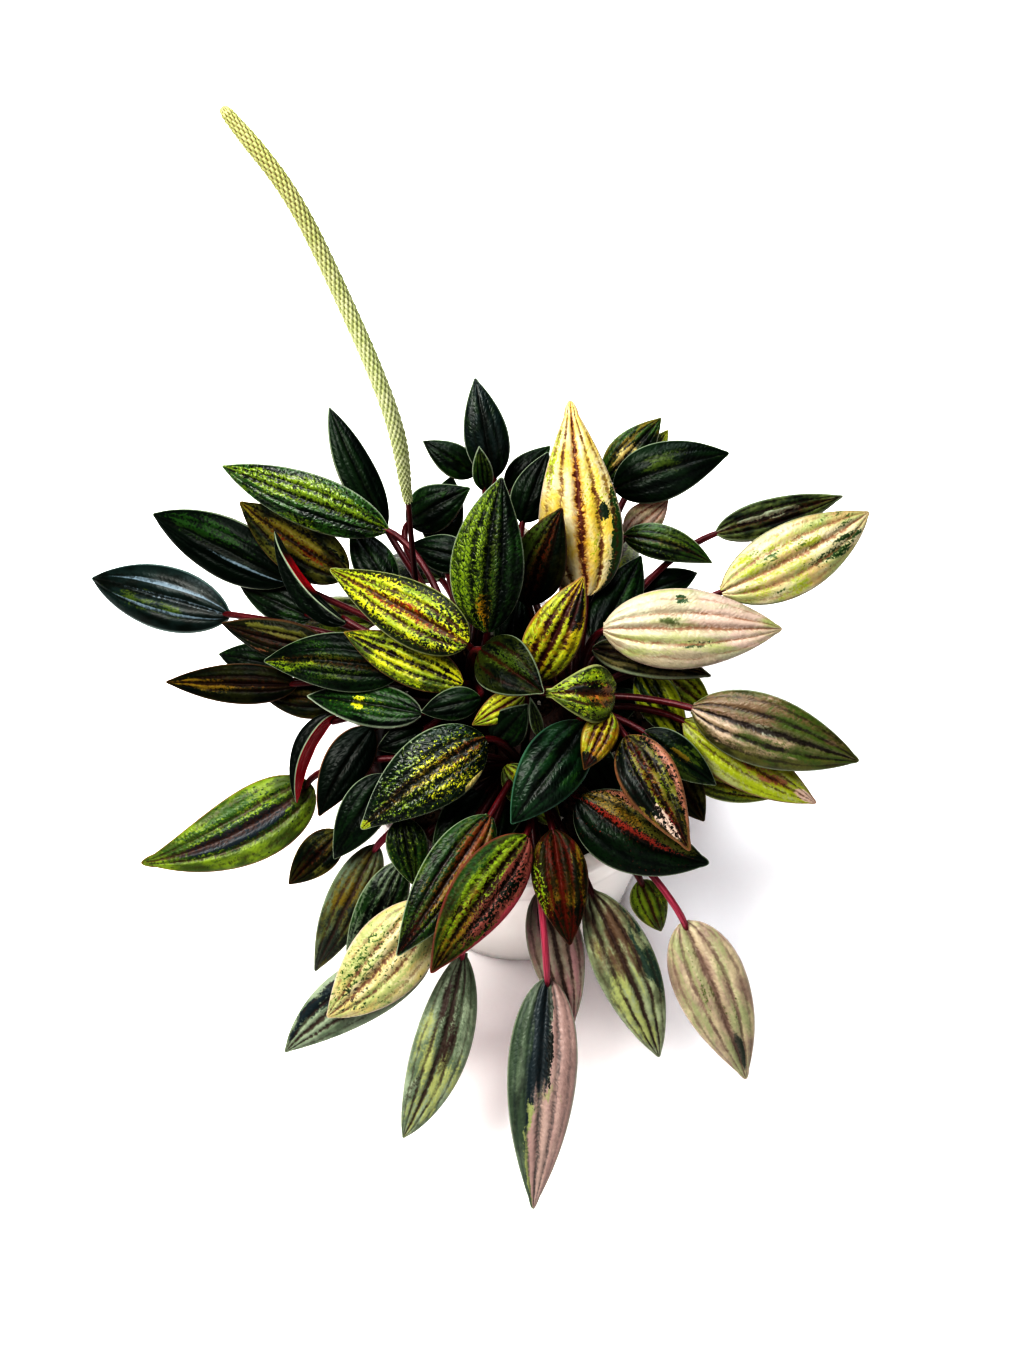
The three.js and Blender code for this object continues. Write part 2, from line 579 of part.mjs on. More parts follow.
// A gently lumpy top on a plug of soil, with a plain hole for the root crown.
function soilSolid() {
  const bottom = POT_FLOOR + 2 + GAP;
  const facet = Math.cos(Math.PI / POT_SIDES);
  const topRadius = (innerRadius(SOIL_TOP) - GAP) * facet - 0.3;
  const footRadius = (innerRadius(bottom) - GAP) * facet - 0.3;
  const wave = (x, y) => Math.sin(x * 0.31 + 1) * Math.cos(y * 0.27) + 0.5 * Math.sin(y * 0.71);
  const lump = (x, y) => SOIL_BUMP * wave(x, y);
  const points = [new THREE.Vector3(0, 0, SOIL_TOP + lump(0, 0))];
  const faces = [];
  const rings = [...SOIL_RINGS, topRadius];
  rings.forEach((r, i) => {
    for (let s = 0; s < SOIL_SIDES; s++) {
      const angle = (2 * Math.PI * s) / SOIL_SIDES;
      const x = r * Math.cos(angle);
      const y = r * Math.sin(angle);
      const bump = i === rings.length - 1 ? -1 : lump(x, y);
      points.push(new THREE.Vector3(x, y, SOIL_TOP + bump));
    }
  });
  for (let s = 0; s < SOIL_SIDES; s++) {
    const angle = (2 * Math.PI * s) / SOIL_SIDES;
    points.push(new THREE.Vector3(footRadius * Math.cos(angle), footRadius * Math.sin(angle), bottom));
  }
  points.push(new THREE.Vector3(0, 0, bottom));
  const ringCount = rings.length + 1;
  for (let s = 0; s < SOIL_SIDES; s++) {
    const next = (s + 1) % SOIL_SIDES;
    faces.push(0, 1 + s, 1 + next);
    for (let i = 0; i + 1 < ringCount; i++) {
      const a = 1 + i * SOIL_SIDES;
      const b = a + SOIL_SIDES;
      faces.push(a + s, b + s, b + next, a + s, b + next, a + next);
    }
    const last = 1 + (ringCount - 1) * SOIL_SIDES;
    faces.push(last + s, points.length - 1, last + next);
  }
  let solid = solidOf(closedGeometry(points, faces));
  const holeRadius = CROWN_RADIUS + 2 * GAP;
  const hole = new THREE.CylinderGeometry(holeRadius, holeRadius, 2 * CROWN_DEPTH, 14)
    .rotateX(Math.PI / 2)
    .translate(0, 0, SOIL_TOP);
  solid = solid.subtract(solidOf(hole));
  return solid;
}

// The flower stalk rises from the left stem, and the spike goes on from its end.
const STALK_PATH = [
  [418, 602, 108],
  [415, 575, 117],
  [411, 535, 136],
  [408, 502, 153],
];
const SPIKE_PATH = [
  [408, 501, 153.5],
  [393, 420, 190],
  [339, 290, 228],
  [287, 190, 254],
  [222, 107, 272],
];

function stalkGeometry() {
  const start = STEMS.left.clone();
  start.z -= 4;
  const curve = new THREE.CatmullRomCurve3([start, ...STALK_PATH.map(atPixel)]);
  return tubeGeometry(curve, STALK_SIDES, STALK_STEPS, () => STALK_RADIUS);
}

function spikeGeometry() {
  const curve = new THREE.CatmullRomCurve3(SPIKE_PATH.map(atPixel));
  const radiusAt = (t, angle, i, s) => {
    const foot = Math.min(1, t / SPIKE_FOOT_SHARE);
    const taper = THREE.MathUtils.lerp(SPIKE_FOOT_RADIUS, SPIKE_RADIUS, Math.sin((foot * Math.PI) / 2));
    const tip = THREE.MathUtils.smoothstep(t, 1 - SPIKE_TIP_SHARE, 1);
    return taper - (SPIKE_RADIUS - SPIKE_TIP_RADIUS) * tip ** 2 + ((i + s) % 2 ? FLORET_BUMP : 0);
  };
  return tubeGeometry(curve, SPIKE_SIDES, SPIKE_STEPS, radiusAt);
}

const plant = new THREE.Group();
plant.add(named("pot", geometryOf(potSolid()), "pot", 0.3));
plant.add(named("soil", geometryOf(soilSolid()), "soil", 0.95));

const leaves = [...LEAVES.map(leafFromRow), ...backLeaves(), ...innerLeaves()];
for (const name of Object.keys(STEMS)) {
  const own = leaves.filter((leaf) => leaf.stem === name).sort((a, b) => a.start.z - b.start.z);
  own.forEach((leaf, i) => {
    leaf.level = i / (own.length - 1);
  });
}
plant.add(named("stems", geometryOf(stemsSolid(leaves)), "stalk"));
for (const leaf of leaves.filter((each) => !each.small)) {
  plant.add(named(`leaf_${leaf.name}`, bladeGeometry(leaf), leaf.colour, 0.35));
}
plant.add(named("flower_spike", spikeGeometry(), "spike", 0.6));

export default plant;
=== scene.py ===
"""The looks of a potted variegated rosso peperomia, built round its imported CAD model."""

import math
import random

import bpy
import numpy as np
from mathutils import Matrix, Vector


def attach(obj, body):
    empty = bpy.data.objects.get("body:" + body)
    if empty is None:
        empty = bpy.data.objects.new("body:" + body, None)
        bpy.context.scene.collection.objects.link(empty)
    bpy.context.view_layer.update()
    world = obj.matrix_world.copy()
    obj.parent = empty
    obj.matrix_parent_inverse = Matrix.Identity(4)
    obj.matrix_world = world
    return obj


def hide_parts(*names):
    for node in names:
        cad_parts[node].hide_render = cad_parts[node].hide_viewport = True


MM = 0.001
WHOLE_BODY = "root"

# Pot and soil, in mm
POT_HEIGHT = 85.0
POT_TOP_RADIUS = 50.0
POT_FOOT_RADIUS = 36.0
POT_WALL = 4.0
POT_FLOOR = 6.0
POT_SIDES = 128
RIM_BAND = 12.0
RIM_OUT = 2.0
DRAIN_RADIUS = 4.0
DRAIN_CIRCLE = 18.0
DRAIN_COUNT = 3
SOIL_TOP = 76.0
SOIL_BUMP = 1.1
SEAT_DEPTH = 11.8
SOIL_SIDES = 96
SOIL_RINGS = 26
CRUMB_COUNT = 620
GRIT_EVERY = 9

# Stems, in mm
CROWN_RADIUS = 7.0
CROWN_TOP = 82.0
STEM_RADIUS = 4.6
STEM_TAPER = 0.25
STEM_LEAN = 0.85
STEMS = {
    "left": np.array([-16.0, 12.0, 98.0]),
    "right": np.array([17.0, 6.0, 98.0]),
    "front": np.array([1.0, -17.0, 98.0]),
}

# Leaf blades and their stalks, in mm. A blade's points lie in rows from base to tip.
BLADE_THICK = 0.95
RIDGE = 0.115
MARGIN_DROP = 0.2
OUTLINE_POWER = 1.5
BLUNT = 0.17
BLUNT_FROM = 0.055
PLAIN = dict(turn=0, arch=0, sway=0, fold=0, widest=0.38, heart=0, crumple=0.035, small=0, rise=None)
BLADE_ROWS = 34
SMALL_BLADE_ROWS = 24
HALF_ACROSS = [0, 0.04, 0.08, 0.13, 0.19, 0.26, 0.32, 0.37, 0.41, 0.45, 0.49, 0.55, 0.61, 0.67]
HALF_ACROSS += [0.72, 0.76, 0.80, 0.84, 0.89, 0.94, 0.975, 1.0]
ACROSS = np.array([-q for q in HALF_ACROSS[:0:-1]] + HALF_ACROSS)
PETIOLE_FOOT_RADIUS = 1.2
PETIOLE_END_RADIUS = 1.05
PETIOLE_INTO_BLADE = 2.4
PETIOLE_RISE = 0.35
PETIOLE_DROOP = 4.0
PETIOLE_ROWS = 22
OVER_RIM = POT_HEIGHT + 7.0
OVER_STEEPNESS = 1.3
LOWEST_ROOT = 0.45
HIGHEST_ROOT = 0.97

# Leaves that the picture hides, in mm and degrees
BACK_COUNT = 10
BACK_FROM = 40.0
BACK_STEP = 12.5
BACK_BASE_RADIUS = 57.0
BACK_BASE_HEIGHT = 92.0
BACK_TIP_RADIUS = 91.0
BACK_TIP_HEIGHT = 58.0
BACK_LOOKS = ["green", "dark", "lime", "dark", "cream", "olive"]
INNER_COUNT = 3
INNER_FROM = 12.0
INNER_BASE_RADIUS = 16.0
INNER_TIP_RADIUS = 41.0
INNER_HEIGHT = 84.0

# Flower spike, in mm
SPIKE_RADIUS = 2.05
SPIKE_FOOT_RADIUS = 1.05
SPIKE_TIP_RADIUS = 1.4
SPIKE_FOOT_SHARE = 0.22
SPIKE_TIP_SHARE = 0.16
SPIKE_ROWS = 620
SPIKE_SIDES = 60
FLORET_BUMP = 0.42
FLORET_PITCH = 1.55
FLORETS_AROUND = 10
STALK_RADIUS = 1.0
STALK_PATH = [(418, 602, 108), (415, 575, 117), (411, 535, 136), (408, 502, 153), (407, 498, 155)]
SPIKE_PATH = [(408, 501, 153.5), (393, 420, 190), (339, 290, 228), (287, 190, 254), (222, 107, 272)]

# The floor in mm, and each light: name, place in m, size in m, power in watts and tint
FLOOR_LEVEL = -0.3
FLOOR_FADE_FROM = 700.0
FLOOR_END = 1050.0
GLOW = 0.06
LIGHTS = [
    ("key", (-0.55, -0.05, 1.25), 0.7, 29.0, (1.0, 0.985, 0.95)),
    ("fill", (0.35, -1.15, 0.95), 1.2, 8.0, (1.0, 1.0, 1.0)),
    ("sky", (0.10, 0.70, 1.25), 0.5, 13.0, (0.92, 0.96, 1.0)),
]

# The picture that the leaves are placed by: 1024 x 1365 pixels, seen from in front and above
PICTURE_WIDTH = 1024
PICTURE_HEIGHT = 1365
MM_PER_PIXEL = 0.3
SENSOR = 36.0
VIEW_DISTANCE = 900.0
VIEW_ELEVATION = math.radians(60)
VIEW_TARGET = np.array([-2.4, 10.0, 100.0])
VIEW_FORWARD = np.array([0.0, math.cos(VIEW_ELEVATION), -math.sin(VIEW_ELEVATION)])
VIEW_UP = np.array([0.0, math.sin(VIEW_ELEVATION), math.cos(VIEW_ELEVATION)])
EYE = VIEW_TARGET - VIEW_DISTANCE * VIEW_FORWARD

# Each leaf: name, stem, base and tip as (pixel across, pixel down, height in mm), width in mm, look,
# and how it lies. turn rolls it about its length (positive lifts its right margin, seen from base to
# tip), arch and sway bow it up and to its right, fold lifts both halves, rise is how far its stalk
# climbs before it leans out, all in degrees or mm. widest is the share of its length at which it is
# widest, heart cuts a notch into its end, in mm, and crumple is how uneven it is. Small leaves are
# joined to the stems.
SMALL = dict(small=1, arch=2)
LEAVES = [
    # left
    ("left_1", "left", (388, 530, 116), (222, 466, 120), 16.5, "green", dict(arch=4, turn=8, widest=0.42)),
    ("left_2", "left", (386, 528, 98), (329, 407, 118), 12, "dark",
     dict(arch=3, turn=-12, sway=-1.2, widest=0.42)),
    ("left_3", "left", (348, 575, 102), (240, 502, 104), 18, "olive", dict(arch=3, sway=-1)),
    ("left_4", "left", (290, 582, 94), (153, 514, 94), 19, "dark",
     dict(arch=4, turn=10, sway=1, widest=0.42)),
    ("left_5", "left", (230, 616, 90), (92, 578, 82), 20, "dark", dict(arch=4, widest=0.43)),
    ("left_6", "left", (312, 618, 88), (240, 585, 84), 12, "dark", SMALL),
    ("left_7", "left", (347, 622, 109), (275, 531, 113), 16, "dark", dict(arch=2, turn=62, fold=45)),
    ("left_8", "left", (330, 650, 101), (222, 623, 97), 13, "olive", dict(arch=3, turn=20)),
    ("left_9", "left", (402, 671, 106.4), (264, 661, 97.4), 18, "green", dict(arch=4, sway=1.5)),
    ("left_10", "left", (297, 685, 90), (166, 682, 82), 12.5, "olive", dict(arch=3)),
    ("left_11", "left", (290, 668, 84), (219, 654, 80), 12, "dark", SMALL),
    ("left_12", "left", (392, 592, 100), (351, 527, 104), 13, "dark", SMALL),
    ("left_13", "left", (340, 700, 88), (262, 694, 80), 13, "olive", dict(small=1, arch=2, rise=2)),
    ("left_14", "left", (422, 714, 101.9), (307, 696, 91.2), 13.5, "dark", dict(arch=3, turn=-10)),
    # crown
    ("crown_1", "left", (468, 644, 126), (330, 569, 124), 19, "yellow", dict(arch=4, widest=0.34)),
    ("crown_2", "left", (463, 684, 112.5), (344, 632, 111.5), 14.5, "lime",
     dict(arch=3, turn=5, widest=0.4)),
    ("crown_3", "left", (488, 632, 120), (502, 477, 150), 22, "green", dict(arch=3, sway=-2, widest=0.4)),
    ("crown_4", "right", (528, 605, 112), (562, 508, 136), 17, "olive", dict(arch=3, sway=-1.2)),
    ("crown_5", "right", (586, 596, 110), (570, 400, 143), 25.5, "cream", dict(arch=4, widest=0.32)),
    ("crown_6", "right", (532, 680, 116), (584, 576, 136), 16.5, "yellow", dict(arch=2)),
    ("crown_7", "left", (482, 650, 131), (544, 693, 137), 18, "dark", dict(arch=2, fold=15)),
    ("crown_8", "right", (546, 693, 134), (615, 694, 124), 17, "lime",
     dict(arch=7, widest=0.6, heart=6, crumple=0.09)),
    ("crown_9", "front", (524, 694, 117), (472, 725, 112), 9, "yellow", SMALL),
    ("crown_10", "front", (496, 742, 106), (528, 704, 120), 12, "dark", SMALL),
    ("crown_11", "left", (480, 698, 112), (421, 712, 108), 10, "dark", SMALL),
    ("crown_12", "front", (485, 738, 116), (361, 829, 100), 22, "green",
     dict(arch=5, sway=1.5, widest=0.35)),
    ("crown_13", "left", (425, 730, 95), (377, 749, 91), 9.5, "dark", SMALL),
    ("crown_14", "front", (585, 722, 117), (511, 824, 110), 19, "dark", dict(arch=5, widest=0.42)),
    ("crown_15", "front", (610, 712, 126), (584, 770, 120), 10.5, "yellow", dict(arch=2)),
    ("crown_16", "front", (540, 736, 112), (530, 697, 124), 4, "green", dict(small=1, arch=1)),
    ("crown_17", "right", (596, 645, 103), (641, 556, 105), 15, "dark", SMALL),
    ("crown_18", "front", (578, 742, 103), (620, 805, 97), 13, "dark", SMALL),
    ("crown_19", "front", (486, 792, 96), (432, 856, 90), 14, "dark", SMALL),
    ("crown_20", "right", (506, 652, 102), (520, 592, 106), 11, "dark", SMALL),
    # back
    ("back_1", "left", (494, 478, 108), (475, 378, 126), 14, "dark", dict(arch=3)),
    ("back_2", "left", (476, 474, 100), (423, 441, 106), 10.5, "dark", dict(arch=2)),
    ("back_3", "left", (485, 490, 114), (479, 446, 126), 6.5, "green", dict(small=1, arch=1)),
    ("back_4", "left", (408, 522, 94), (470, 488, 106), 15, "dark", dict(small=1, arch=3)),
    ("back_5", "left", (470, 560, 100), (410, 545, 98), 12, "dark", SMALL),
    ("back_10", "left", (436, 548, 90), (452, 476, 93), 13, "dark", SMALL),
    ("back_6", "right", (508, 492, 100), (550, 446, 108), 11, "dark", SMALL),
    ("back_7", "right", (522, 522, 108), (548, 452, 120), 13, "dark", dict(arch=2)),
    ("back_8", "right", (606, 480, 106), (661, 418, 116), 13, "green", dict(arch=3)),
    ("back_9", "right", (636, 478, 104), (668, 430, 110), 8, "lime", SMALL),
    # right
    ("right_1", "right", (614, 489, 112), (729, 453, 118), 18, "dark", dict(arch=4, sway=-0.8)),
    ("right_2", "right", (626, 536, 102), (668, 500, 106), 11, "cream", SMALL),
    ("right_3", "right", (624, 536, 108), (712, 563, 102), 11, "green", dict(arch=3, sway=-1.5)),
    ("right_4", "right", (716, 533, 102), (843, 496, 104), 12, "olive", dict(arch=3, turn=10, sway=0.5)),
    ("right_5", "right", (721, 592, 110), (869, 512, 112), 22, "cream",
     dict(arch=4, sway=1.5, widest=0.43)),
    ("right_6", "right", (603, 629, 122), (782, 629, 116), 24, "cream", dict(arch=5, widest=0.4)),
    ("right_7", "right", (640, 594, 98), (697, 573, 96), 10, "dark", SMALL),
    ("right_8", "right", (592, 649, 110), (711, 676, 104), 12, "olive", dict(arch=3, turn=20)),
    ("right_9", "right", (662, 672, 96), (712, 712, 90), 12, "lime", SMALL),
    ("right_10", "right", (640, 672, 99), (686, 745, 88), 13, "green", dict(arch=2)),
    ("right_11", "right", (692, 708, 108), (859, 761, 98), 21.5, "pink", dict(arch=5, widest=0.4)),
    ("right_12", "right", (684, 721, 98), (816, 803, 87), 17, "lime", dict(arch=4, widest=0.4, sway=0.8)),
    ("right_13", "right", (690, 776, 86), (776, 797, 78), 10, "lime", SMALL),
    ("right_14", "right", (644, 732, 104), (716, 785, 94), 12, "dark", dict(arch=3)),
    ("right_15", "right", (668, 764, 92), (704, 821, 82), 12, "olive", SMALL),
    ("right_16", "right", (626, 737, 121), (690, 851, 111), 17, "pink",
     dict(arch=4, widest=0.34, crumple=0.08)),
    ("right_17", "front", (579, 798, 108), (709, 863, 97), 22, "dark", dict(arch=5, sway=3, widest=0.36)),
    # front
    ("front_1", "front", (311, 784, 71), (141, 863, 57), 22.5, "lime",
     dict(arch=5, sway=-4, rise=8, widest=0.33)),
    ("front_2", "left", (336, 716, 88), (297, 803, 74), 15, "dark",
     dict(arch=2, turn=-68, fold=50, rise=2)),
    ("front_3", "left", (372, 728, 95.8), (319, 816, 83.5), 14, "dark", dict(arch=3, rise=-4, sway=1)),
    ("front_4", "front", (385, 775, 100), (334, 859, 84), 14, "dark", dict(arch=3)),
    ("front_5", "front", (340, 832, 76), (289, 884, 64), 12, "olive", SMALL),
    ("front_6", "front", (377, 845, 82), (315, 971, 52), 14, "grey", dict(arch=4)),
    ("front_7", "front", (402, 862, 84), (348, 975, 56), 14, "green", dict(arch=4)),
    ("front_8", "front", (430, 962, 66), (285, 1052, 44), 18, "grey", dict(arch=4, sway=3.5, widest=0.42)),
    ("front_9", "front", (430, 900, 84), (327, 1017, 62), 23, "cream", dict(arch=4, sway=-2, widest=0.42)),
    ("front_10", "front", (490, 816, 103), (397, 956, 86), 18, "green", dict(arch=4)),
    ("front_11", "front", (527, 836, 106), (431, 973, 88), 19, "olive", dict(arch=5, sway=1)),
    ("front_12", "front", (463, 952, 68), (403, 1138, 32), 17, "grey",
     dict(arch=5, sway=-2.5, widest=0.46)),
    ("front_13", "front", (548, 978, 72), (533, 1209, 30), 20.5, "grey", dict(arch=6, widest=0.37)),
    ("front_14", "front", (543, 888, 84), (573, 1024, 54), 16.5, "grey", dict(arch=4)),
    ("front_15", "front", (553, 830, 104), (570, 945, 88), 16.5, "olive", dict(arch=4)),
    ("front_16", "front", (590, 891, 90), (659, 1057, 56), 18.5, "green",
     dict(arch=5, sway=-1.2, widest=0.42)),
    ("front_17", "front", (683, 922, 78), (746, 1079, 46), 22, "cream",
     dict(arch=5, widest=0.36, sway=-0.8)),
    ("front_18", "front", (640, 880, 80), (661, 931, 68), 11, "lime", SMALL),
    ("front_19", "front", (402, 818, 98), (415, 886, 86), 12.5, "green", dict(arch=2)),
    ("front_20", "front", (505, 766, 102), (562, 829, 92), 12, "lime", SMALL),
]


def rgb(*thousandths):
    """A linear colour."""
    return tuple(channel / 1000 for channel in thousandths)


BLACK_GREEN = rgb(2, 5, 3)
DEEP_GREEN = rgb(3, 8, 4)
DARK_GREEN = rgb(6, 18, 6)
BLUE_GREEN = rgb(7, 16, 14)
SLATE = rgb(10, 18, 21)
LEAF_GREEN = rgb(14, 40, 8)
FRESH_GREEN = rgb(30, 66, 11)
MOSS = rgb(45, 66, 12)
LIME = rgb(125, 170, 16)
BRIGHT_LIME = rgb(200, 230, 16)
YELLOW = rgb(310, 310, 18)
GOLD = rgb(200, 125, 8)
OLIVE = rgb(26, 26, 6)
OLIVE_PALE = rgb(70, 70, 18)
MUSTARD = rgb(110, 85, 12)
CREAM = rgb(350, 300, 130)
PALE_CREAM = rgb(345, 310, 215)
YELLOW_CREAM = rgb(350, 270, 55)
GREEN_CREAM = rgb(225, 240, 110)
PINK_CREAM = rgb(330, 262, 220)
PINK = rgb(240, 155, 152)
TAN = rgb(170, 90, 50)
BROWN = rgb(36, 13, 6)
DARK_BROWN = rgb(9, 3, 2)
RED_BROWN = rgb(60, 10, 5)
RUST = rgb(130, 32, 12)
ORANGE = rgb(300, 85, 16)
RED = rgb(200, 6, 14)
ROSE = rgb(280, 50, 75)
MAGENTA = rgb(120, 14, 28)
GREY_GREEN = rgb(85, 108, 72)
GREY_DARK = rgb(24, 32, 22)
GREY_PALE = rgb(190, 220, 160)
# Pale silvery streaks for the ridges: partly the leaf's own silver and partly painted sheen.
SILVER_AND_SHEEN = rgb(110, 140, 160)
GREY_BROWN = rgb(36, 21, 17)


def patch(paint, cover, grain, soft=2, zone=None, pull=12, size=33, streak=4, crest=0, broken=0):
    """A layer of variegation, in percent. cover is its share of the leaf, grain how speckled it is and
    soft how blurred. zone is an oval where it gathers, as (place along, place across, reach along,
    reach across), with across from -100 at the right margin to 100 at the left one, and pull is how
    strongly it gathers there. size is its fineness, crest keeps it to the ridges, and broken lets the
    net of small veins cut it up. streak is how many times it is drawn out along the leaf."""
    shares = dict(cover=cover, grain=grain, soft=soft, pull=pull, size=size, crest=crest, broken=broken)
    layer = {key: share / 100 for key, share in shares.items()}
    return {**layer, "paint": paint, "streak": streak, "zone": zone and [share / 100 for share in zone]}


# Each look: ground in the furrows and crest on the ridges, patches over them, vein lines, rib for a wash
# about the midrib, band for the stripe inside the margin, margin for the pale line on its edge, and under
# for the lower side, which shows only between under_from and under_until where a look has them. The
# furrows' darker ground is partly the veins' own colour and partly painted shade in the creases, and
# outside the under span the lower side takes the crest colour as painted shade. Shares say how strongly
# each is painted. teeth makes the veins ragged, and cracks shows the net between them.
LOOKS = {
    "dark": dict(
        ground=BLACK_GREEN, crest=DARK_GREEN, furrow=0.17, vein=BLACK_GREEN, vein_share=0.9, rib=RED_BROWN,
        rib_share=0.1, rib_width=0.1, band_share=0, margin=GREY_PALE, margin_share=0.75, under=RED,
        gloss=0.34, specular=0.14, patches=[patch(LEAF_GREEN, 30, 30, 6, size=22, streak=3, crest=70)],
    ),
    "green": dict(
        ground=BLACK_GREEN, crest=LEAF_GREEN, furrow=0.15, vein=BLACK_GREEN, vein_share=0.9, rib=BROWN,
        rib_share=0.25, rib_width=0.12, band_share=0, margin=GREY_PALE, margin_share=0.8, under=MAGENTA,
        gloss=0.34, specular=0.22, patches=[
            patch(MOSS, 45, 40, 4, size=20, streak=3, crest=60),
            patch(LIME, 28, 60, size=25, streak=3, crest=80, broken=80),
            patch(BLACK_GREEN, 20, 75, size=50),
        ],
    ),
    "lime": dict(
        ground=MOSS, crest=LIME, furrow=0.14, vein=BROWN, vein_share=0.85, rib=ORANGE, rib_share=0.15,
        rib_width=0.12, band=DARK_GREEN, band_share=0.5, margin=GREEN_CREAM, margin_share=0.8, under=ROSE,
        gloss=0.38, specular=0.25, patches=[
            patch(BRIGHT_LIME, 40, 30, 5, size=22),
            patch(LEAF_GREEN, 22, 50, size=40),
        ],
    ),
    "yellow": dict(
        ground=LIME, crest=YELLOW, furrow=0.1, vein=RED_BROWN, vein_share=1, vein_width=1.2, rib=ORANGE,
        rib_share=0.2, rib_width=0.14, band=DARK_GREEN, band_share=0.5, margin=TAN, margin_share=0.8,
        under=ROSE, gloss=0.38, specular=0.25, patches=[
            patch(BRIGHT_LIME, 35, 30, 5, size=25),
            patch(DEEP_GREEN, 16, 75, size=50, streak=3),
        ],
    ),
    "cream": dict(
        ground=PINK_CREAM, crest=PALE_CREAM, furrow=0.1, vein=TAN, vein_share=0.8, vein_width=0.8, rib=PINK,
        rib_share=0.25, rib_width=0.14, band_share=0, margin=PINK_CREAM, margin_share=0.8, under=ROSE,
        gloss=0.42, specular=0.3, patches=[
            patch(GREEN_CREAM, 40, 20, 9, size=20, streak=6),
            patch(LEAF_GREEN, 5, 40, size=40),
        ],
    ),
    "pink": dict(
        ground=OLIVE, crest=OLIVE_PALE, furrow=0.16, vein=DARK_BROWN, vein_share=0.9, rib=PINK,
        rib_share=0.3, rib_width=0.14, band_share=0, margin=GREY_PALE, margin_share=0.6, under=ROSE,
        gloss=0.4, specular=0.25, patches=[patch(PINK, 40, 30, 7, size=22, streak=6)],
    ),
    "olive": dict(
        ground=DEEP_GREEN, crest=OLIVE, furrow=0.15, vein=DARK_BROWN, vein_share=0.9, rib=RED_BROWN,
        rib_share=0.5, rib_width=0.2, band_share=0, margin=TAN, margin_share=0.35, under=MAGENTA,
        gloss=0.38, specular=0.09, patches=[patch(OLIVE_PALE, 40, 30, 6, size=22, crest=60)],
    ),
    "grey": dict(
        ground=GREY_DARK, crest=GREY_GREEN, furrow=0.17, vein=GREY_BROWN, vein_share=0.85, vein_width=1.1,
        rib=GREY_BROWN, rib_share=0.3, rib_width=0.12, band_share=0, margin=GREY_PALE, margin_share=0.6,
        under=ROSE, gloss=0.45, specular=0.25, patches=[
            patch(GREY_PALE, 45, 25, 7, size=20, streak=5, crest=50),
            patch(GREY_DARK, 20, 30, 5, size=30),
        ],
    ),
}

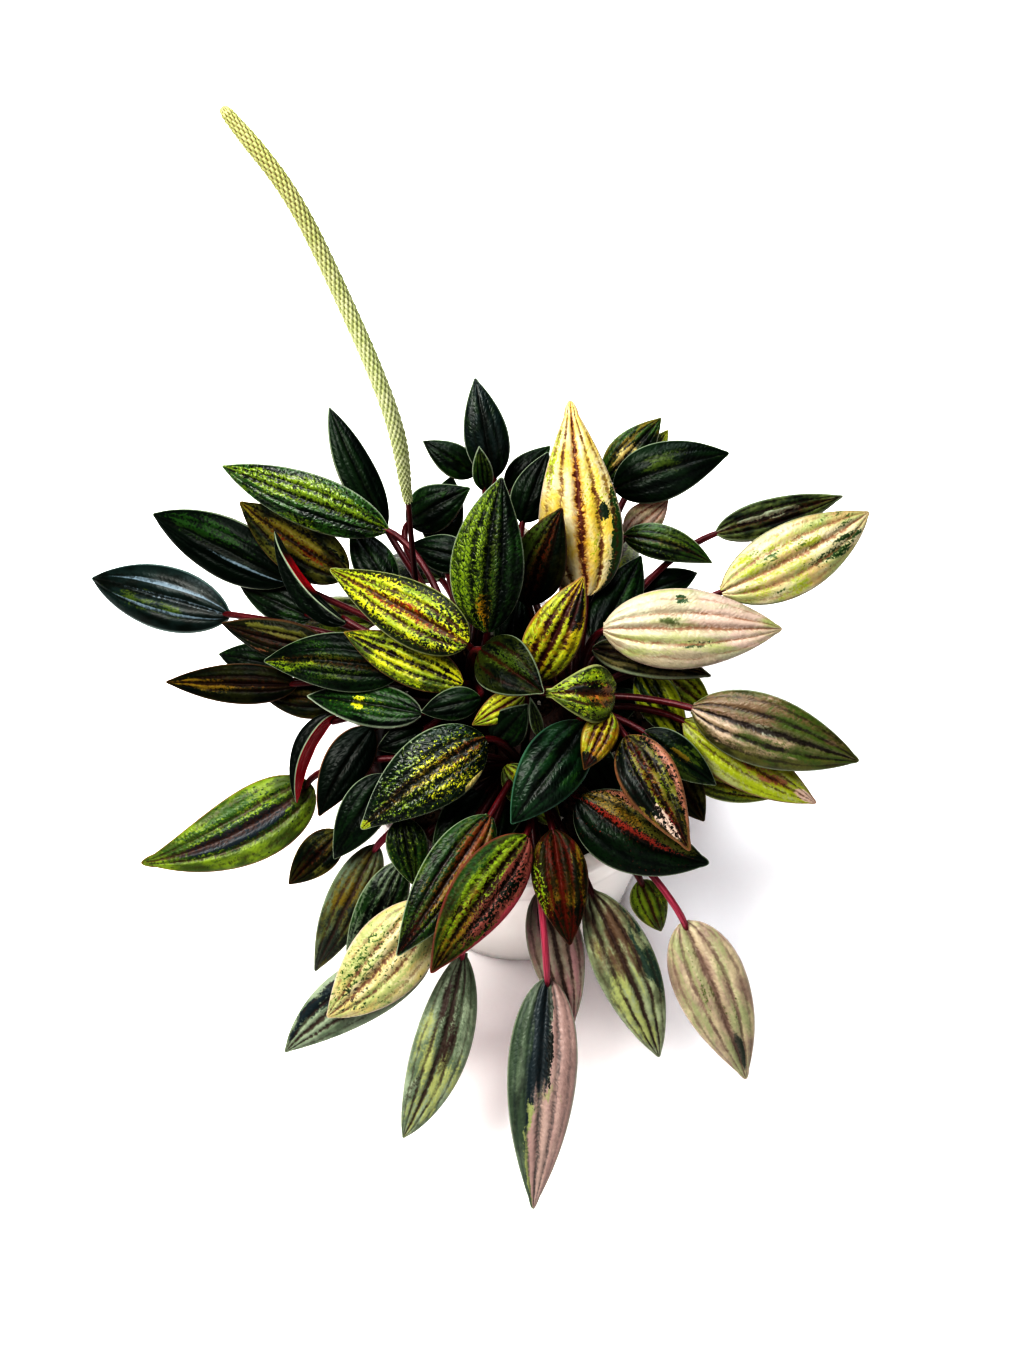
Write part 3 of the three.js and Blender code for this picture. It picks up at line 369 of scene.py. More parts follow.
# What sets single leaves apart from their look
SPECIAL = {
    "left_1": dict(crest=DARK_GREEN, teeth=0.5, gloss=0.26, specular=0.3, bump=0.45, patches=[
        patch(rgb(24, 62, 12), 60, 35, 4, size=22),
        patch(LIME, 60, 50, 3, (55, -30, 50, 40), 10, size=25, broken=50),
        patch(BLACK_GREEN, 32, 80, size=50),
    ]),
    "left_2": dict(crest=DEEP_GREEN, patches=[patch(DARK_GREEN, 50, 30, 6, (60, 30, 50, 60))]),
    "left_3": dict(crest=OLIVE_PALE, patches=[
        patch(rgb(100, 92, 14), 50, 40, 4, (55, 0, 50, 50)),
        patch(RUST, 18, 40, 4, (40, 10, 30, 30)),
        patch(DEEP_GREEN, 30, 50, size=40),
    ]),
    "left_4": dict(crest=DEEP_GREEN, bump=0.15, specular=0.08, patches=[
        patch(LEAF_GREEN, 30, 45, 4, (60, -30, 40, 50)),
        # This silvery streak is partly painted sheen.
        patch(SILVER_AND_SHEEN, 4, 30, 9, (25, 25, 30, 8), 25, size=30, streak=8),
    ]),
    "left_5": dict(
        crest=BLUE_GREEN, margin_width=0.8, specular=0.2, gloss=0.33, bump=0.1, margin=rgb(120, 160, 150),
        patches=[
            patch(MOSS, 20, 30, 6, (60, 30, 30, 40)),
            # These silvery streaks along the ridges are partly painted sheen.
            patch(SILVER_AND_SHEEN, 35, 20, 9, (35, -2, 50, 9), 30, size=30, streak=8),
            patch(SILVER_AND_SHEEN, 35, 20, 9, (40, -42, 40, 8), 30, size=30, streak=8),
            patch(SILVER_AND_SHEEN, 25, 20, 9, (45, 42, 40, 7), 30, size=30, streak=8),
        ],
    ),
    # left_7 shows its red lower side only in the middle of its length; elsewhere it is painted dark as
    # shade.
    "left_7": dict(crest=DEEP_GREEN, under_from=0.3, under_until=0.7, patches=[patch(DARK_GREEN, 30, 50)]),
    "left_8": dict(crest=rgb(12, 14, 4), patches=[
        patch(OLIVE_PALE, 25, 30, 5, (50, -50, 50, 30)),
        patch(TAN, 20, 30, 4, (50, 60, 30, 30), 14),
    ]),
    "left_9": dict(crest=DARK_GREEN, teeth=0.5, rib=RUST, rib_share=0.4, specular=0.12, patches=[
        patch(FRESH_GREEN, 35, 50, 4, size=22, broken=50),
        patch(MOSS, 30, 50, 2, (55, 20, 40, 60)),
        patch(LIME, 24, 50, 2, (80, 30, 30, 60)),
        patch(BLACK_GREEN, 30, 80, size=50),
    ]),
    "left_10": dict(ground=BLACK_GREEN, crest=rgb(14, 16, 4), vein_width=1.7, specular=0.06, patches=[
        patch(MUSTARD, 30, 35, 5, (65, 10, 40, 40)),
    ]),
    "left_14": dict(
        crest=DEEP_GREEN, margin=rgb(260, 300, 230), margin_width=0.9, margin_share=0.9, specular=0.2,
        vein_width=1.5, patches=[
            patch(rgb(20, 60, 12), 45, 40, 4, (50, 0, 70, 80), size=30, broken=50),
            patch(LIME, 12, 60, 2, (50, 10, 40, 60), 10, size=40),
            patch(YELLOW, 20, 50, 2, (50, 0, 8, 40), 20, size=50),
            patch(BLACK_GREEN, 20, 80, size=50),
        ],
    ),
    "crown_1": dict(
        furrow=0.04, rib_share=0.55, rib_width=0.1, cracks=1, vein=BROWN, vein_share=0.8, band=DEEP_GREEN,
        band_share=0.95, band_from=0.68, teeth=0.6, margin=GREEN_CREAM, patches=[
            patch(LIME, 40, 60, 3),
            patch(BRIGHT_LIME, 40, 30, 5, size=20),
            patch(rgb(170, 34, 10), 28, 70, 3, (40, 2, 40, 30), 14, size=50, broken=60),
            patch(RED_BROWN, 16, 80, 2, (40, 0, 40, 16), 16, size=50),
            patch(DEEP_GREEN, 29, 80, size=50),
            patch(DEEP_GREEN, 34, 70, 2, (12, 0, 22, 110), 8, size=40, streak=2),
        ],
    ),
    "crown_2": dict(
        crest=rgb(240, 280, 16), vein=DARK_BROWN, vein_share=1, vein_width=1.4, teeth=0.6, furrow=0.08,
        band=DEEP_GREEN, band_share=0.8, band_from=0.82, margin=TAN, cracks=0.9, patches=[
            patch(YELLOW, 40, 35, 5, size=25),
            patch(LIME, 30, 50, 5),
            patch(DEEP_GREEN, 12, 70, size=50),
        ],
    ),
    "crown_3": dict(vein_width=1.3, teeth=0.5, furrow=0.12, bump=0.45, patches=[
        patch(MOSS, 55, 70, 2, (50, 50, 60, 70), size=22, crest=80, broken=70),
        patch(LIME, 50, 85, 2, (45, 60, 50, 55), size=25, crest=80, broken=80),
        patch(GOLD, 30, 80, 2, (14, 10, 14, 30), 15),
        patch(BLACK_GREEN, 25, 85, size=50),
    ]),
    "crown_4": dict(rib=RUST, rib_share=0.6, patches=[patch(MOSS, 40, 60, 2, (60, 50, 50, 50), crest=50)]),
    "crown_5": dict(
        ground=YELLOW_CREAM, crest=rgb(345, 310, 200), vein=RED_BROWN, vein_share=0.95, vein_width=0.85,
        rib=ORANGE, rib_share=0.6, rib_width=0.11, cracks=0.9, teeth=0.4, furrow=0.16, patches=[
            patch(YELLOW_CREAM, 25, 30, 7, size=22),
            patch(BRIGHT_LIME, 14, 70, 2, (35, -40, 40, 50), 6),
            patch(BRIGHT_LIME, 20, 60, 2, (75, 90, 30, 40), 10),
            patch(LEAF_GREEN, 35, 60, 4, (20, -95, 36, 25), 25, size=45),
            patch(DARK_GREEN, 20, 50, 2, (42, -60, 6, 16), 30),
        ],
    ),
    "crown_6": dict(
        ground=rgb(150, 80, 6), crest=rgb(270, 255, 12), furrow=0.07, vein=rgb(30, 5, 3), vein_width=2.1,
        teeth=0.55, band_share=0, margin_width=0.8, cracks=0.9, patches=[
            patch(BRIGHT_LIME, 55, 40, 5),
            patch(DEEP_GREEN, 30, 50, 2, (72, -50, 20, 40), 30),
            patch(DEEP_GREEN, 16, 80, size=50),
        ],
    ),
    "crown_7": dict(
        crest=rgb(22, 28, 5), vein=rgb(30, 6, 3), vein_share=0.7, teeth=0.4, specular=0.08, patches=[
            patch(MOSS, 30, 60, 4, (50, 20, 50, 50)),
            patch(BLACK_GREEN, 35, 60, size=40),
        ],
    ),
    "crown_8": dict(
        vein_share=0.5, vein_width=0.8, teeth=0.6, band=BLACK_GREEN, band_share=0.85, band_from=0.74,
        margin_width=0.9, cracks=1, patches=[
            patch(BRIGHT_LIME, 55, 60, 3, size=45, streak=1.5, broken=90),
            patch(rgb(240, 110, 30), 40, 70, 4, (70, -5, 30, 45), 14, size=45, broken=60),
            patch(TAN, 30, 60, 4, (78, 10, 20, 30), 20),
            patch(BLACK_GREEN, 35, 60, 2, (40, 20, 25, 30), 25, size=50),
            patch(BLACK_GREEN, 30, 85, size=50),
        ],
    ),
    "crown_12": dict(
        crest=DARK_GREEN, furrow=0.2, vein_width=1.3, rib=RUST, rib_share=0.6, teeth=0.5, gloss=0.3,
        bump=0.55, specular=0.3, patches=[
            patch(LEAF_GREEN, 35, 60, size=30),
            patch(BLACK_GREEN, 40, 70, size=40),
            patch(LIME, 28, 75, 2, (40, 10, 50, 90), 8, broken=90),
            patch(YELLOW, 26, 75, 2, (25, 20, 35, 80), broken=90),
            patch(rgb(80, 30, 10), 20, 80, 2, (16, 10, 22, 60), 10, size=50),
            # The pale grey specks on the ridges are painted glints.
            patch(GREY_PALE, 10, 85, 2, (60, -20, 45, 80), 4, size=50, crest=60),
            patch(CREAM, 30, 20, 2, (20, 95, 10, 12), 50),
            patch(BRIGHT_LIME, 40, 20, 4, (98, 0, 6, 100), 40),
        ],
    ),
    # crown_14's teal margin is a painted sheen along its edge.
    "crown_14": dict(
        crest=rgb(8, 30, 11), margin=rgb(70, 140, 100), margin_width=0.8, gloss=0.3, specular=0.18,
        patches=[patch(LEAF_GREEN, 20, 30, 5)],
    ),
    "crown_15": dict(
        ground=rgb(150, 80, 6), crest=rgb(215, 225, 10), furrow=0.07, vein=rgb(30, 5, 3), vein_width=2,
        teeth=0.5, band_share=0, margin=rgb(110, 60, 20), margin_width=0.8, patches=[
            patch(LIME, 35, 40, 5),
            patch(DEEP_GREEN, 35, 40, 2, (95, 0, 25, 120), 35),
        ],
    ),
    "back_1": dict(crest=BLUE_GREEN, specular=0.25, patches=[patch(DARK_GREEN, 40, 30, 6)]),
    "back_8": dict(crest=FRESH_GREEN, patches=[
        patch(MUSTARD, 35, 30, 5, size=25),
        patch(CREAM, 30, 30, 4, (30, 10, 25, 30), 14),
        patch(DARK_GREEN, 30, 40, size=30),
    ]),
    "right_1": dict(patches=[patch(MOSS, 25, 25, 6, (50, 20, 25, 40))]),
    "right_3": dict(crest=FRESH_GREEN, rib=MAGENTA, rib_share=0.3, specular=0.3),
    "right_4": dict(crest=rgb(75, 92, 34), margin=GREY_PALE, margin_width=0.9, margin_share=0.7, patches=[
        # The pale stripe along the middle ridge is painted sheen.
        patch(GREY_PALE, 30, 20, 5, (45, 10, 45, 20), 15),
    ]),
    "right_5": dict(
        ground=rgb(270, 210, 110), crest=GREEN_CREAM, vein_share=0.75, vein_width=0.6, margin=DARK_GREEN,
        margin_share=0.4, specular=0.4, patches=[
            patch(PALE_CREAM, 45, 20, 8, size=22, streak=6, crest=50),
            patch(BRIGHT_LIME, 16, 40, 7, (30, 0, 50, 100), size=30),
            patch(FRESH_GREEN, 20, 40, 5, (60, 30, 40, 50), 4, size=40),
            patch(LEAF_GREEN, 30, 45, 5, (72, -50, 22, 34), size=50, streak=6),
        ],
    ),
    "right_6": dict(
        ground=rgb(245, 212, 152), crest=rgb(278, 264, 192), furrow=0.07, vein_share=0.75, vein_width=0.5,
        teeth=0.12, specular=0.45, patches=[
            patch(GREEN_CREAM, 42, 20, 8, size=20, streak=6, crest=50),
            patch(PINK_CREAM, 30, 20, 8, (75, 0, 35, 100), streak=6),
            patch(LEAF_GREEN, 20, 40, 3, (42, 72, 6, 14), 20),
            patch(MOSS, 10, 30, 8, (35, 20, 7, 16), 16),
            patch(LEAF_GREEN, 20, 40, 4, (52, -38, 14, 14), 16),
        ],
    ),
    "right_8": dict(crest=rgb(120, 105, 50), margin=GREY_PALE, margin_share=0.8, margin_width=1),
    "right_10": dict(crest=FRESH_GREEN, patches=[patch(BRIGHT_LIME, 60, 20, 5, streak=7)]),
    "right_11": dict(vein_width=1.1, teeth=0.14, furrow=0.12, specular=0.35, patches=[
        patch(rgb(110, 75, 45), 35, 40, 9, (35, 50, 50, 50)),
        patch(rgb(230, 180, 130), 36, 30, 12, (20, -30, 50, 40)),
        # The pale spot near the middle is a painted glint.
        patch(GREY_PALE, 25, 50, 5, (55, 5, 25, 20), 14),
        patch(MOSS, 30, 40, 8, (70, 0, 40, 100)),
    ]),
    "right_12": dict(
        ground=BRIGHT_LIME, crest=BRIGHT_LIME, vein_share=0.6, vein_width=0.8, band_share=0, margin=TAN,
        patches=[
            patch(BRIGHT_LIME, 40, 30, 6, size=22, streak=6),
            patch(GREEN_CREAM, 50, 30, 6, size=30, streak=6),
            patch(TAN, 30, 30, 5, (60, 10, 25, 35)),
            patch(PINK_CREAM, 35, 20, 5, (97, 0, 14, 80), 30),
        ],
    ),
    "right_14": dict(patches=[
        patch(MOSS, 40, 30, 5),
        patch(MUSTARD, 20, 40, 2, (40, 0, 20, 40), 14),
    ]),
    "right_16": dict(
        crest=rgb(105, 100, 18), rib=RED, rib_share=0.4, rib_width=0.12, cracks=0.9, teeth=0.6, margin=TAN,
        margin_share=0.9, margin_width=1.3, patches=[
            patch(LIME, 35, 60, 2, (45, 10, 50, 60), 6, broken=50),
            patch(MUSTARD, 40, 50, 3, broken=50),
            patch(rgb(230, 120, 85), 30, 50, 4, (50, 85, 60, 25), 20),
            patch(PINK_CREAM, 35, 40, 4, (76, -40, 20, 40), 22),
            patch(RED, 20, 70, 2, (80, -5, 20, 15), 15),
            # The deep green over the right half is painted shade.
            patch(DEEP_GREEN, 40, 50, 2, (35, -60, 35, 50), 20),
            patch(BLACK_GREEN, 40, 85, size=50),
        ],
    ),
    "right_17": dict(cracks=0.2, patches=[
        patch(rgb(120, 85, 16), 50, 70, 2, (32, 50, 38, 34), 14, size=50, broken=50),
        patch(OLIVE_PALE, 40, 50, 4, (60, 60, 30, 40), 15),
        patch(rgb(190, 100, 70), 35, 60, 3, (30, 85, 30, 20), 14),
        patch(rgb(150, 30, 20), 50, 75, 2, (36, 10, 42, 13), 10, size=90, streak=0.6),
        patch(BLACK_GREEN, 30, 80, size=50),
    ]),
    "front_1": dict(teeth=0.5, vein_share=0.5, vein_width=0.7, band_share=0, margin=TAN, patches=[
        patch(FRESH_GREEN, 30, 60, 4, (50, -30, 50, 60), size=40),
        patch(MOSS, 30, 40, 6),
        patch(LEAF_GREEN, 35, 70, 2, (45, 5, 45, 40), 20, size=45, streak=2),
        patch(rgb(10, 20, 26), 42, 60, 2, (45, 5, 38, 26), 30, size=40, streak=2),
        patch(BLACK_GREEN, 8, 80, size=50),
    ]),
    "front_2": dict(crest=BLACK_GREEN, under=rgb(260, 8, 22), patches=[]),
    "front_3": dict(crest=DEEP_GREEN, margin=TAN, patches=[]),
    "front_4": dict(crest=DEEP_GREEN, patches=[patch(DARK_GREEN, 40, 40, 5)]),
    "front_6": dict(ground=OLIVE_PALE, patches=[
        patch(MUSTARD, 20, 30, 8, (30, 0, 50, 100)),
        patch(GREY_DARK, 40, 30, 7, (85, 0, 40, 100)),
    ]),
    # front_7's grey-green on the ridges is painted sheen.
    "front_7": dict(patches=[patch(GREY_GREEN, 45, 35, 5, crest=80)]),
    "front_8": dict(ground=GREY_GREEN, crest=GREY_PALE, patches=[
        patch(GREY_GREEN, 20, 20, 8, streak=6),
        patch(SLATE, 30, 30, 5, (60, -50, 35, 40), 20),
    ]),
    "front_9": dict(
        ground=rgb(310, 265, 115), crest=rgb(320, 290, 190), furrow=0.13, vein=rgb(110, 55, 35),
        vein_share=0.85, vein_width=0.6, patches=[
            patch(GREEN_CREAM, 45, 35, 6, size=25),
            patch(FRESH_GREEN, 22, 80, 3, (60, -40, 40, 60), 5),
            patch(DARK_GREEN, 16, 70, 3, (80, 10, 16, 60)),
            patch(LEAF_GREEN, 6, 85, size=50),
        ],
    ),
    "front_10": dict(rib=RUST, rib_share=0.6, rib_width=0.14, vein=DARK_BROWN, patches=[
        patch(MOSS, 42, 40, 5, size=22),
        patch(MUSTARD, 45, 45, 5, (30, 25, 35, 50), 14),
        patch(rgb(100, 40, 12), 30, 50, 5, (15, 10, 25, 60), 14),
        patch(LIME, 20, 60, 2, (75, 20, 25, 50), 10),
        patch(BLACK_GREEN, 30, 70, 2, (88, 0, 20, 100), size=40),
    ]),
    "front_11": dict(ground=OLIVE, crest=MOSS, teeth=0.5, margin=ROSE, margin_width=1.1, patches=[
        patch(LIME, 50, 40, 7, (40, -25, 50, 40), 16, broken=40),
        patch(MUSTARD, 30, 35, 7, (75, 10, 35, 70)),
        patch(rgb(130, 50, 40), 45, 50, 5, (35, 55, 50, 45), 20),
        patch(rgb(200, 50, 60), 12, 40, 6, (50, 98, 40, 16), 20),
        patch(DEEP_GREEN, 18, 60, 2, (40, 40, 50, 60), size=40),
        patch(LEAF_GREEN, 30, 40, 6, (45, -85, 50, 30), 10),
    ]),
    "front_12": dict(ground=GREY_GREEN, crest=GREY_PALE, teeth=0.15, patches=[
        patch(GREY_GREEN, 40, 30, 7, size=22, streak=5),
        patch(GREEN_CREAM, 20, 30, 7, (70, 0, 50, 100), streak=5),
        patch(GREY_BROWN, 25, 30, 7, (30, 0, 40, 50), 6, streak=6),
    ]),
    "front_13": dict(vein=SLATE, vein_share=0.35, furrow=0.2, specular=0.35, teeth=0.1, patches=[
        patch(rgb(40, 58, 36), 40, 15, 10, (40, -80, 60, 40), 10, streak=6),
        # The slate patch by the midrib is a painted bluish shadow.
        patch(SLATE, 50, 15, 10, (35, -15, 50, 30), 30, streak=6),
        patch(rgb(210, 150, 135), 45, 30, 5, (60, 85, 95, 72), 60, size=50),
        patch(rgb(170, 185, 85), 35, 40, 3, (80, 17, 36, 78), 50, size=50),
        patch(rgb(225, 160, 145), 35, 40, 4, (80, 28, 35, 78), 50, size=50),
        patch(rgb(270, 205, 180), 35, 20, 10, (75, 30, 35, 40), 15, streak=8),
        patch(BLACK_GREEN, 20, 60, 2, (28, 20, 20, 10), 20, size=50),
    ]),
    "front_14": dict(
        ground=rgb(190, 145, 115), crest=rgb(230, 215, 170), teeth=0.15, vein_width=1.2, patches=[
            patch(PINK, 42, 20, 8, streak=6),
        ],
    ),
    "front_15": dict(ground=BLACK_GREEN, crest=rgb(20, 18, 5), vein=RED_BROWN, vein_width=1.5, patches=[
        patch(MUSTARD, 30, 30, 6),
        patch(RED_BROWN, 30, 30, 6, streak=6),
        patch(LIME, 12, 70, 2, (50, -80, 50, 30), 10),
    ]),
    "front_16": dict(
        ground=rgb(105, 115, 70), crest=rgb(215, 235, 155), vein=GREY_BROWN, vein_width=1.2, teeth=0.15,
        patches=[
            patch(GREEN_CREAM, 16, 30, 8, (60, -20, 50, 90)),
            patch(rgb(90, 62, 42), 30, 20, 10, (14, 10, 34, 100), 14, streak=5),
            patch(rgb(26, 44, 32), 30, 30, 6, (45, 85, 30, 35), 14),
        ],
    ),
    "front_17": dict(
        ground=rgb(190, 145, 115), crest=rgb(280, 240, 170), vein=rgb(90, 58, 46), vein_share=0.7,
        vein_width=1.1, furrow=0.14, teeth=0.12, patches=[
            patch(rgb(200, 205, 120), 40, 20, 9, streak=6),
            patch(MOSS, 16, 40, 5, (45, 0, 25, 50), 6, size=40, streak=5),
            patch(GREY_DARK, 36, 30, 7, (80, 20, 14, 22), 22),
        ],
    ),
    "front_19": dict(patches=[
        patch(MOSS, 50, 75, broken=60),
        patch(LIME, 10, 80),
    ]),
}


# Places and curves

def at_pixel(place):
    """The point in mm that a pixel shows at a height."""
    px, py, height = place
    ray = VIEW_DISTANCE * VIEW_FORWARD + (PICTURE_HEIGHT / 2 - py) * MM_PER_PIXEL * VIEW_UP
    ray[0] += (px - PICTURE_WIDTH / 2) * MM_PER_PIXEL
    return EYE + ray * (height - EYE[2]) / ray[2]


def around(degrees, radius, height):
    """A point round the pot's axis."""
    angle = math.radians(degrees)
    return np.array([radius * math.cos(angle), radius * math.sin(angle), height])


def unit(vector):
    return vector / np.linalg.norm(vector)


def turned(vector, axis, angle):
    """The vector turned about a unit axis."""
    kept = axis * axis.dot(vector) * (1 - math.cos(angle))
    return vector * math.cos(angle) + np.cross(axis, vector) * math.sin(angle) + kept


def mix(a, b, t):
    return a + (b - a) * t


def bezier(points, t):
    """A Bezier curve of four or fewer points, at every t."""
    t = np.atleast_1d(t)[:, None]
    rows = [np.array(p, float)[None, :] for p in points]
    while len(rows) > 1:
        rows = [mix(a, b, t) for a, b in zip(rows, rows[1:])]
    return rows[0]


def smooth_path(points, count):
    """Points along a centripetal Catmull-Rom curve through the given ones."""
    pts = [np.array(p, float) for p in points]
    pts = [2 * pts[0] - pts[1], *pts, 2 * pts[-1] - pts[-2]]
    spans = len(pts) - 3
    out = []
    for i in range(count):
        place = spans * i / (count - 1)
        k = min(int(place), spans - 1)
        rows = pts[k : k + 4]
        knots = [0.0]
        for a, b in zip(rows, rows[1:]):
            knots.append(knots[-1] + math.sqrt(np.linalg.norm(b - a)))
        t = mix(knots[1], knots[2], place - k)
        for between in ([(0, 1), (1, 2), (2, 3)], [(0, 2), (1, 3)], [(1, 2)]):
            shares = [(t - knots[low]) / (knots[high] - knots[low]) for low, high in between]
            rows = [mix(a, b, share) for a, b, share in zip(rows, rows[1:], shares)]
        out.append(rows[0])
    return np.array(out)


# Leaves

class Leaf:
    """A leaf with its own frame: where it starts, its length and the ways along, up and to its right."""

    def __init__(self, name, stem, start, end, towards, width, look, how):
        self.name = name
        self.stem = stem
        self.start = start
        self.width = width
        self.look = look
        for key, value in {**PLAIN, **how}.items():
            setattr(self, key, value)
        self.length = float(np.linalg.norm(end - start))
        self.along = unit(end - start)
        face = unit(towards - self.along * towards.dot(self.along))
        self.face = turned(face, self.along, math.radians(-self.turn))
        self.side = np.cross(self.along, self.face)
        self.level = 0.0
        self.seed = sum(ord(c) * (i + 3) for i, c in enumerate(name)) % 97
        self.veins = veins_of(0 if self.small else self.seed, look == "dark")


def leaf_from_row(row):
    name, stem, base, tip, width, look, how = row
    return Leaf(name, stem, at_pixel(base), at_pixel(tip), -VIEW_FORWARD, width, look, how)


def back_leaf(i):
    """One of the leaves that hang over the pot's rim at the back."""
    bearing = BACK_FROM + BACK_STEP * i
    low = i % 2
    start = around(bearing, BACK_BASE_RADIUS + 3 * low, BACK_BASE_HEIGHT - 10 * low)
    reach = BACK_TIP_RADIUS - 6 * low + 3 * (i % 3)
    end = around(bearing + 5 - 10 * low, reach, BACK_TIP_HEIGHT - 16 * low)
    stem = "right" if bearing < 90 else "left"
    look = BACK_LOOKS[i % len(BACK_LOOKS)]
    towards = around(bearing, 0.6, 0.8)
    return Leaf(f"ring_{i + 1}", stem, start, end, towards, 15 + 2 * (i % 3), look, dict(small=1, arch=4))


def inner_leaf(i):
    """One of the dark leaves low over the soil, in the shade of the others."""
    bearing = INNER_FROM + 360 / INNER_COUNT * i
    start = around(bearing, INNER_BASE_RADIUS, INNER_HEIGHT)
    end = around(bearing + 8, INNER_TIP_RADIUS, INNER_HEIGHT + 2 - 2 * (i % 2))
    stem = ("right", "left", "front")[i]
    towards = around(bearing, 0.2, 1)
    return Leaf(f"inner_{i + 1}", stem, start, end, towards, 15, "dark", dict(small=1, arch=3))


def all_leaves():
    leaves = [leaf_from_row(row) for row in LEAVES]
    leaves += [back_leaf(i) for i in range(BACK_COUNT)] + [inner_leaf(i) for i in range(INNER_COUNT)]
    for stem in STEMS:
        own = sorted((leaf for leaf in leaves if leaf.stem == stem), key=lambda leaf: leaf.start[2])
        for i, leaf in enumerate(own):
            leaf.level = i / (len(own) - 1)
    return leaves


def spine_at(leaf, t):
    """The spine's points and frames (point, ahead, up, side) at every t."""
    t = np.atleast_1d(t)[:, None]
    bow = 4 * t * (1 - t)
    slope = 4 * (1 - 2 * t)
    line, bend = leaf.along * leaf.length, leaf.face * leaf.arch + leaf.side * leaf.sway
    point = leaf.start + line * t + bend * bow
    ahead = line + bend * slope
    ahead = ahead / np.linalg.norm(ahead, axis=1)[:, None]
    up = leaf.face - ahead * (ahead @ leaf.face)[:, None]
    up = up / np.linalg.norm(up, axis=1)[:, None]
    return point, ahead, up, np.cross(ahead, up)


def outline_at(leaf, t):
    """Half of the blade's width as a share of its widest: round at the base, with a small blunt tip."""
    def raw(s):
        return s ** (OUTLINE_POWER * leaf.widest) * (1 - s) ** (OUTLINE_POWER * (1 - leaf.widest))

    return np.maximum(raw(t) / raw(leaf.widest), BLUNT * np.sqrt(np.clip((1 - t) / BLUNT_FROM, 0, 1)))


def veins_of(seed, dark):
    """The sunken veins of half a blade: place across, half width, depth. Dark leaves have fewer."""
    draw = random.Random(seed)
    inner = draw.uniform(0.36, 0.46)
    depth = draw.uniform(0.5, 0.85)
    if dark:
        return [(0.0, 0.075, 0.8), (inner + 0.08, 0.06, 0.5 * depth)]
    return [(0.0, 0.075, 1.0), (inner, 0.055, depth), (inner + 0.36, 0.045, 0.18)]


def relief(q, veins):
    """Height of the ridges between the sunken veins, as a share of the half width."""
    q = np.abs(q)
    height = 1 - 0.55 * q**2
    for place, width, depth in veins:
        height = height - depth * np.exp(-(((q - place) / (1.7 * width)) ** 2))
    return RIDGE * np.clip(height, -0.3, 1) * np.clip((1 - q) / 0.05, 0, 1)


def blade_centre(leaf, t, q, half):
    """The middle of a blade's thickness at every t and q: bowed, folded, ridged and uneven."""
    point, ahead, up, side = (rows[:, None, :] for rows in spine_at(leaf, t[:, 0]))
    draw = random.Random(leaf.seed)
    phase, beat, wave = draw.uniform(0, 6.3), draw.uniform(9, 14), draw.uniform(0.02, 0.055)
    ripple = wave * np.abs(q) ** 4 * np.sin(beat * t + phase + 2.1 * np.sign(q))
    swell = leaf.crumple * np.sin(5.5 * t + phase + 2.3 * q) * (1 - np.abs(q))
    swell = swell + 0.4 * leaf.crumple * np.sin(23 * t + 2 * phase + 7 * q) * (1 - q**2)
    fold = math.tan(math.radians(leaf.fold))
    lift = fold * np.abs(q) + relief(q, leaf.veins) - MARGIN_DROP * np.abs(q) ** 3 + ripple + swell
    notch = leaf.heart * np.exp(-((q / 0.35) ** 2)) * np.clip((t - 0.6) / 0.4, 0, 1) ** 2
    out = half / math.hypot(1, fold)
    return point + (-q * out)[:, :, None] * side + (lift * out)[:, :, None] * up - notch[:, :, None] * ahead


def blade_part(leaf, rows=BLADE_ROWS):
    """One closed blade. leaf holds each point's place across and along, and the blade's half width there,
    with 100 added on the lower side. flat holds its mm across and along, and the leaf's seed."""
    angle = np.linspace(0.10, math.pi - 0.13, rows)
    t = ((1 - np.cos(angle)) / 2)[:, None]
    q = ACROSS[None, :]
    half = leaf.width / 2 * outline_at(leaf, t)
    centre = blade_centre(leaf, t, q, half)
    thin = np.sqrt(np.clip(1 - (0.93 * np.abs(q)) ** 10, 0.05, 1)) * np.clip((1 - t) / 0.08, 0.3, 1)
    (base, tip), (_, tip_ahead), (base_up, tip_up), _ = spine_at(leaf, [0.0, 1.0])
    offset = (BLADE_THICK / 2 * thin)[:, :, None] * spine_at(leaf, t[:, 0])[2][:, None, :]
    tip = tip - leaf.heart * tip_ahead
    grid = [np.concatenate([[0], np.broadcast_to(a, (rows, len(ACROSS))).ravel(), [end]])
            for a, end in ((q, 0), (t, 1), (half, 0))]
    all_q, all_t, all_half = grid
    points, values = [], []
    for sign, below in ((1, 0), (-1, 100)):
        points += [base + sign * 0.3 * BLADE_THICK * base_up, (centre + sign * offset).reshape(-1, 3)]
        points += [tip + sign * 0.15 * BLADE_THICK * tip_up]
        values.append(np.stack([all_q, all_t, below + all_half], 1))
    flat = np.stack([all_q * all_half, all_t * leaf.length, np.full(len(all_q), leaf.seed * 7.0)], 1)
    points = np.vstack(points)
    return points, blade_faces(rows, len(ACROSS)), np.concatenate(values), np.concatenate([flat, flat])


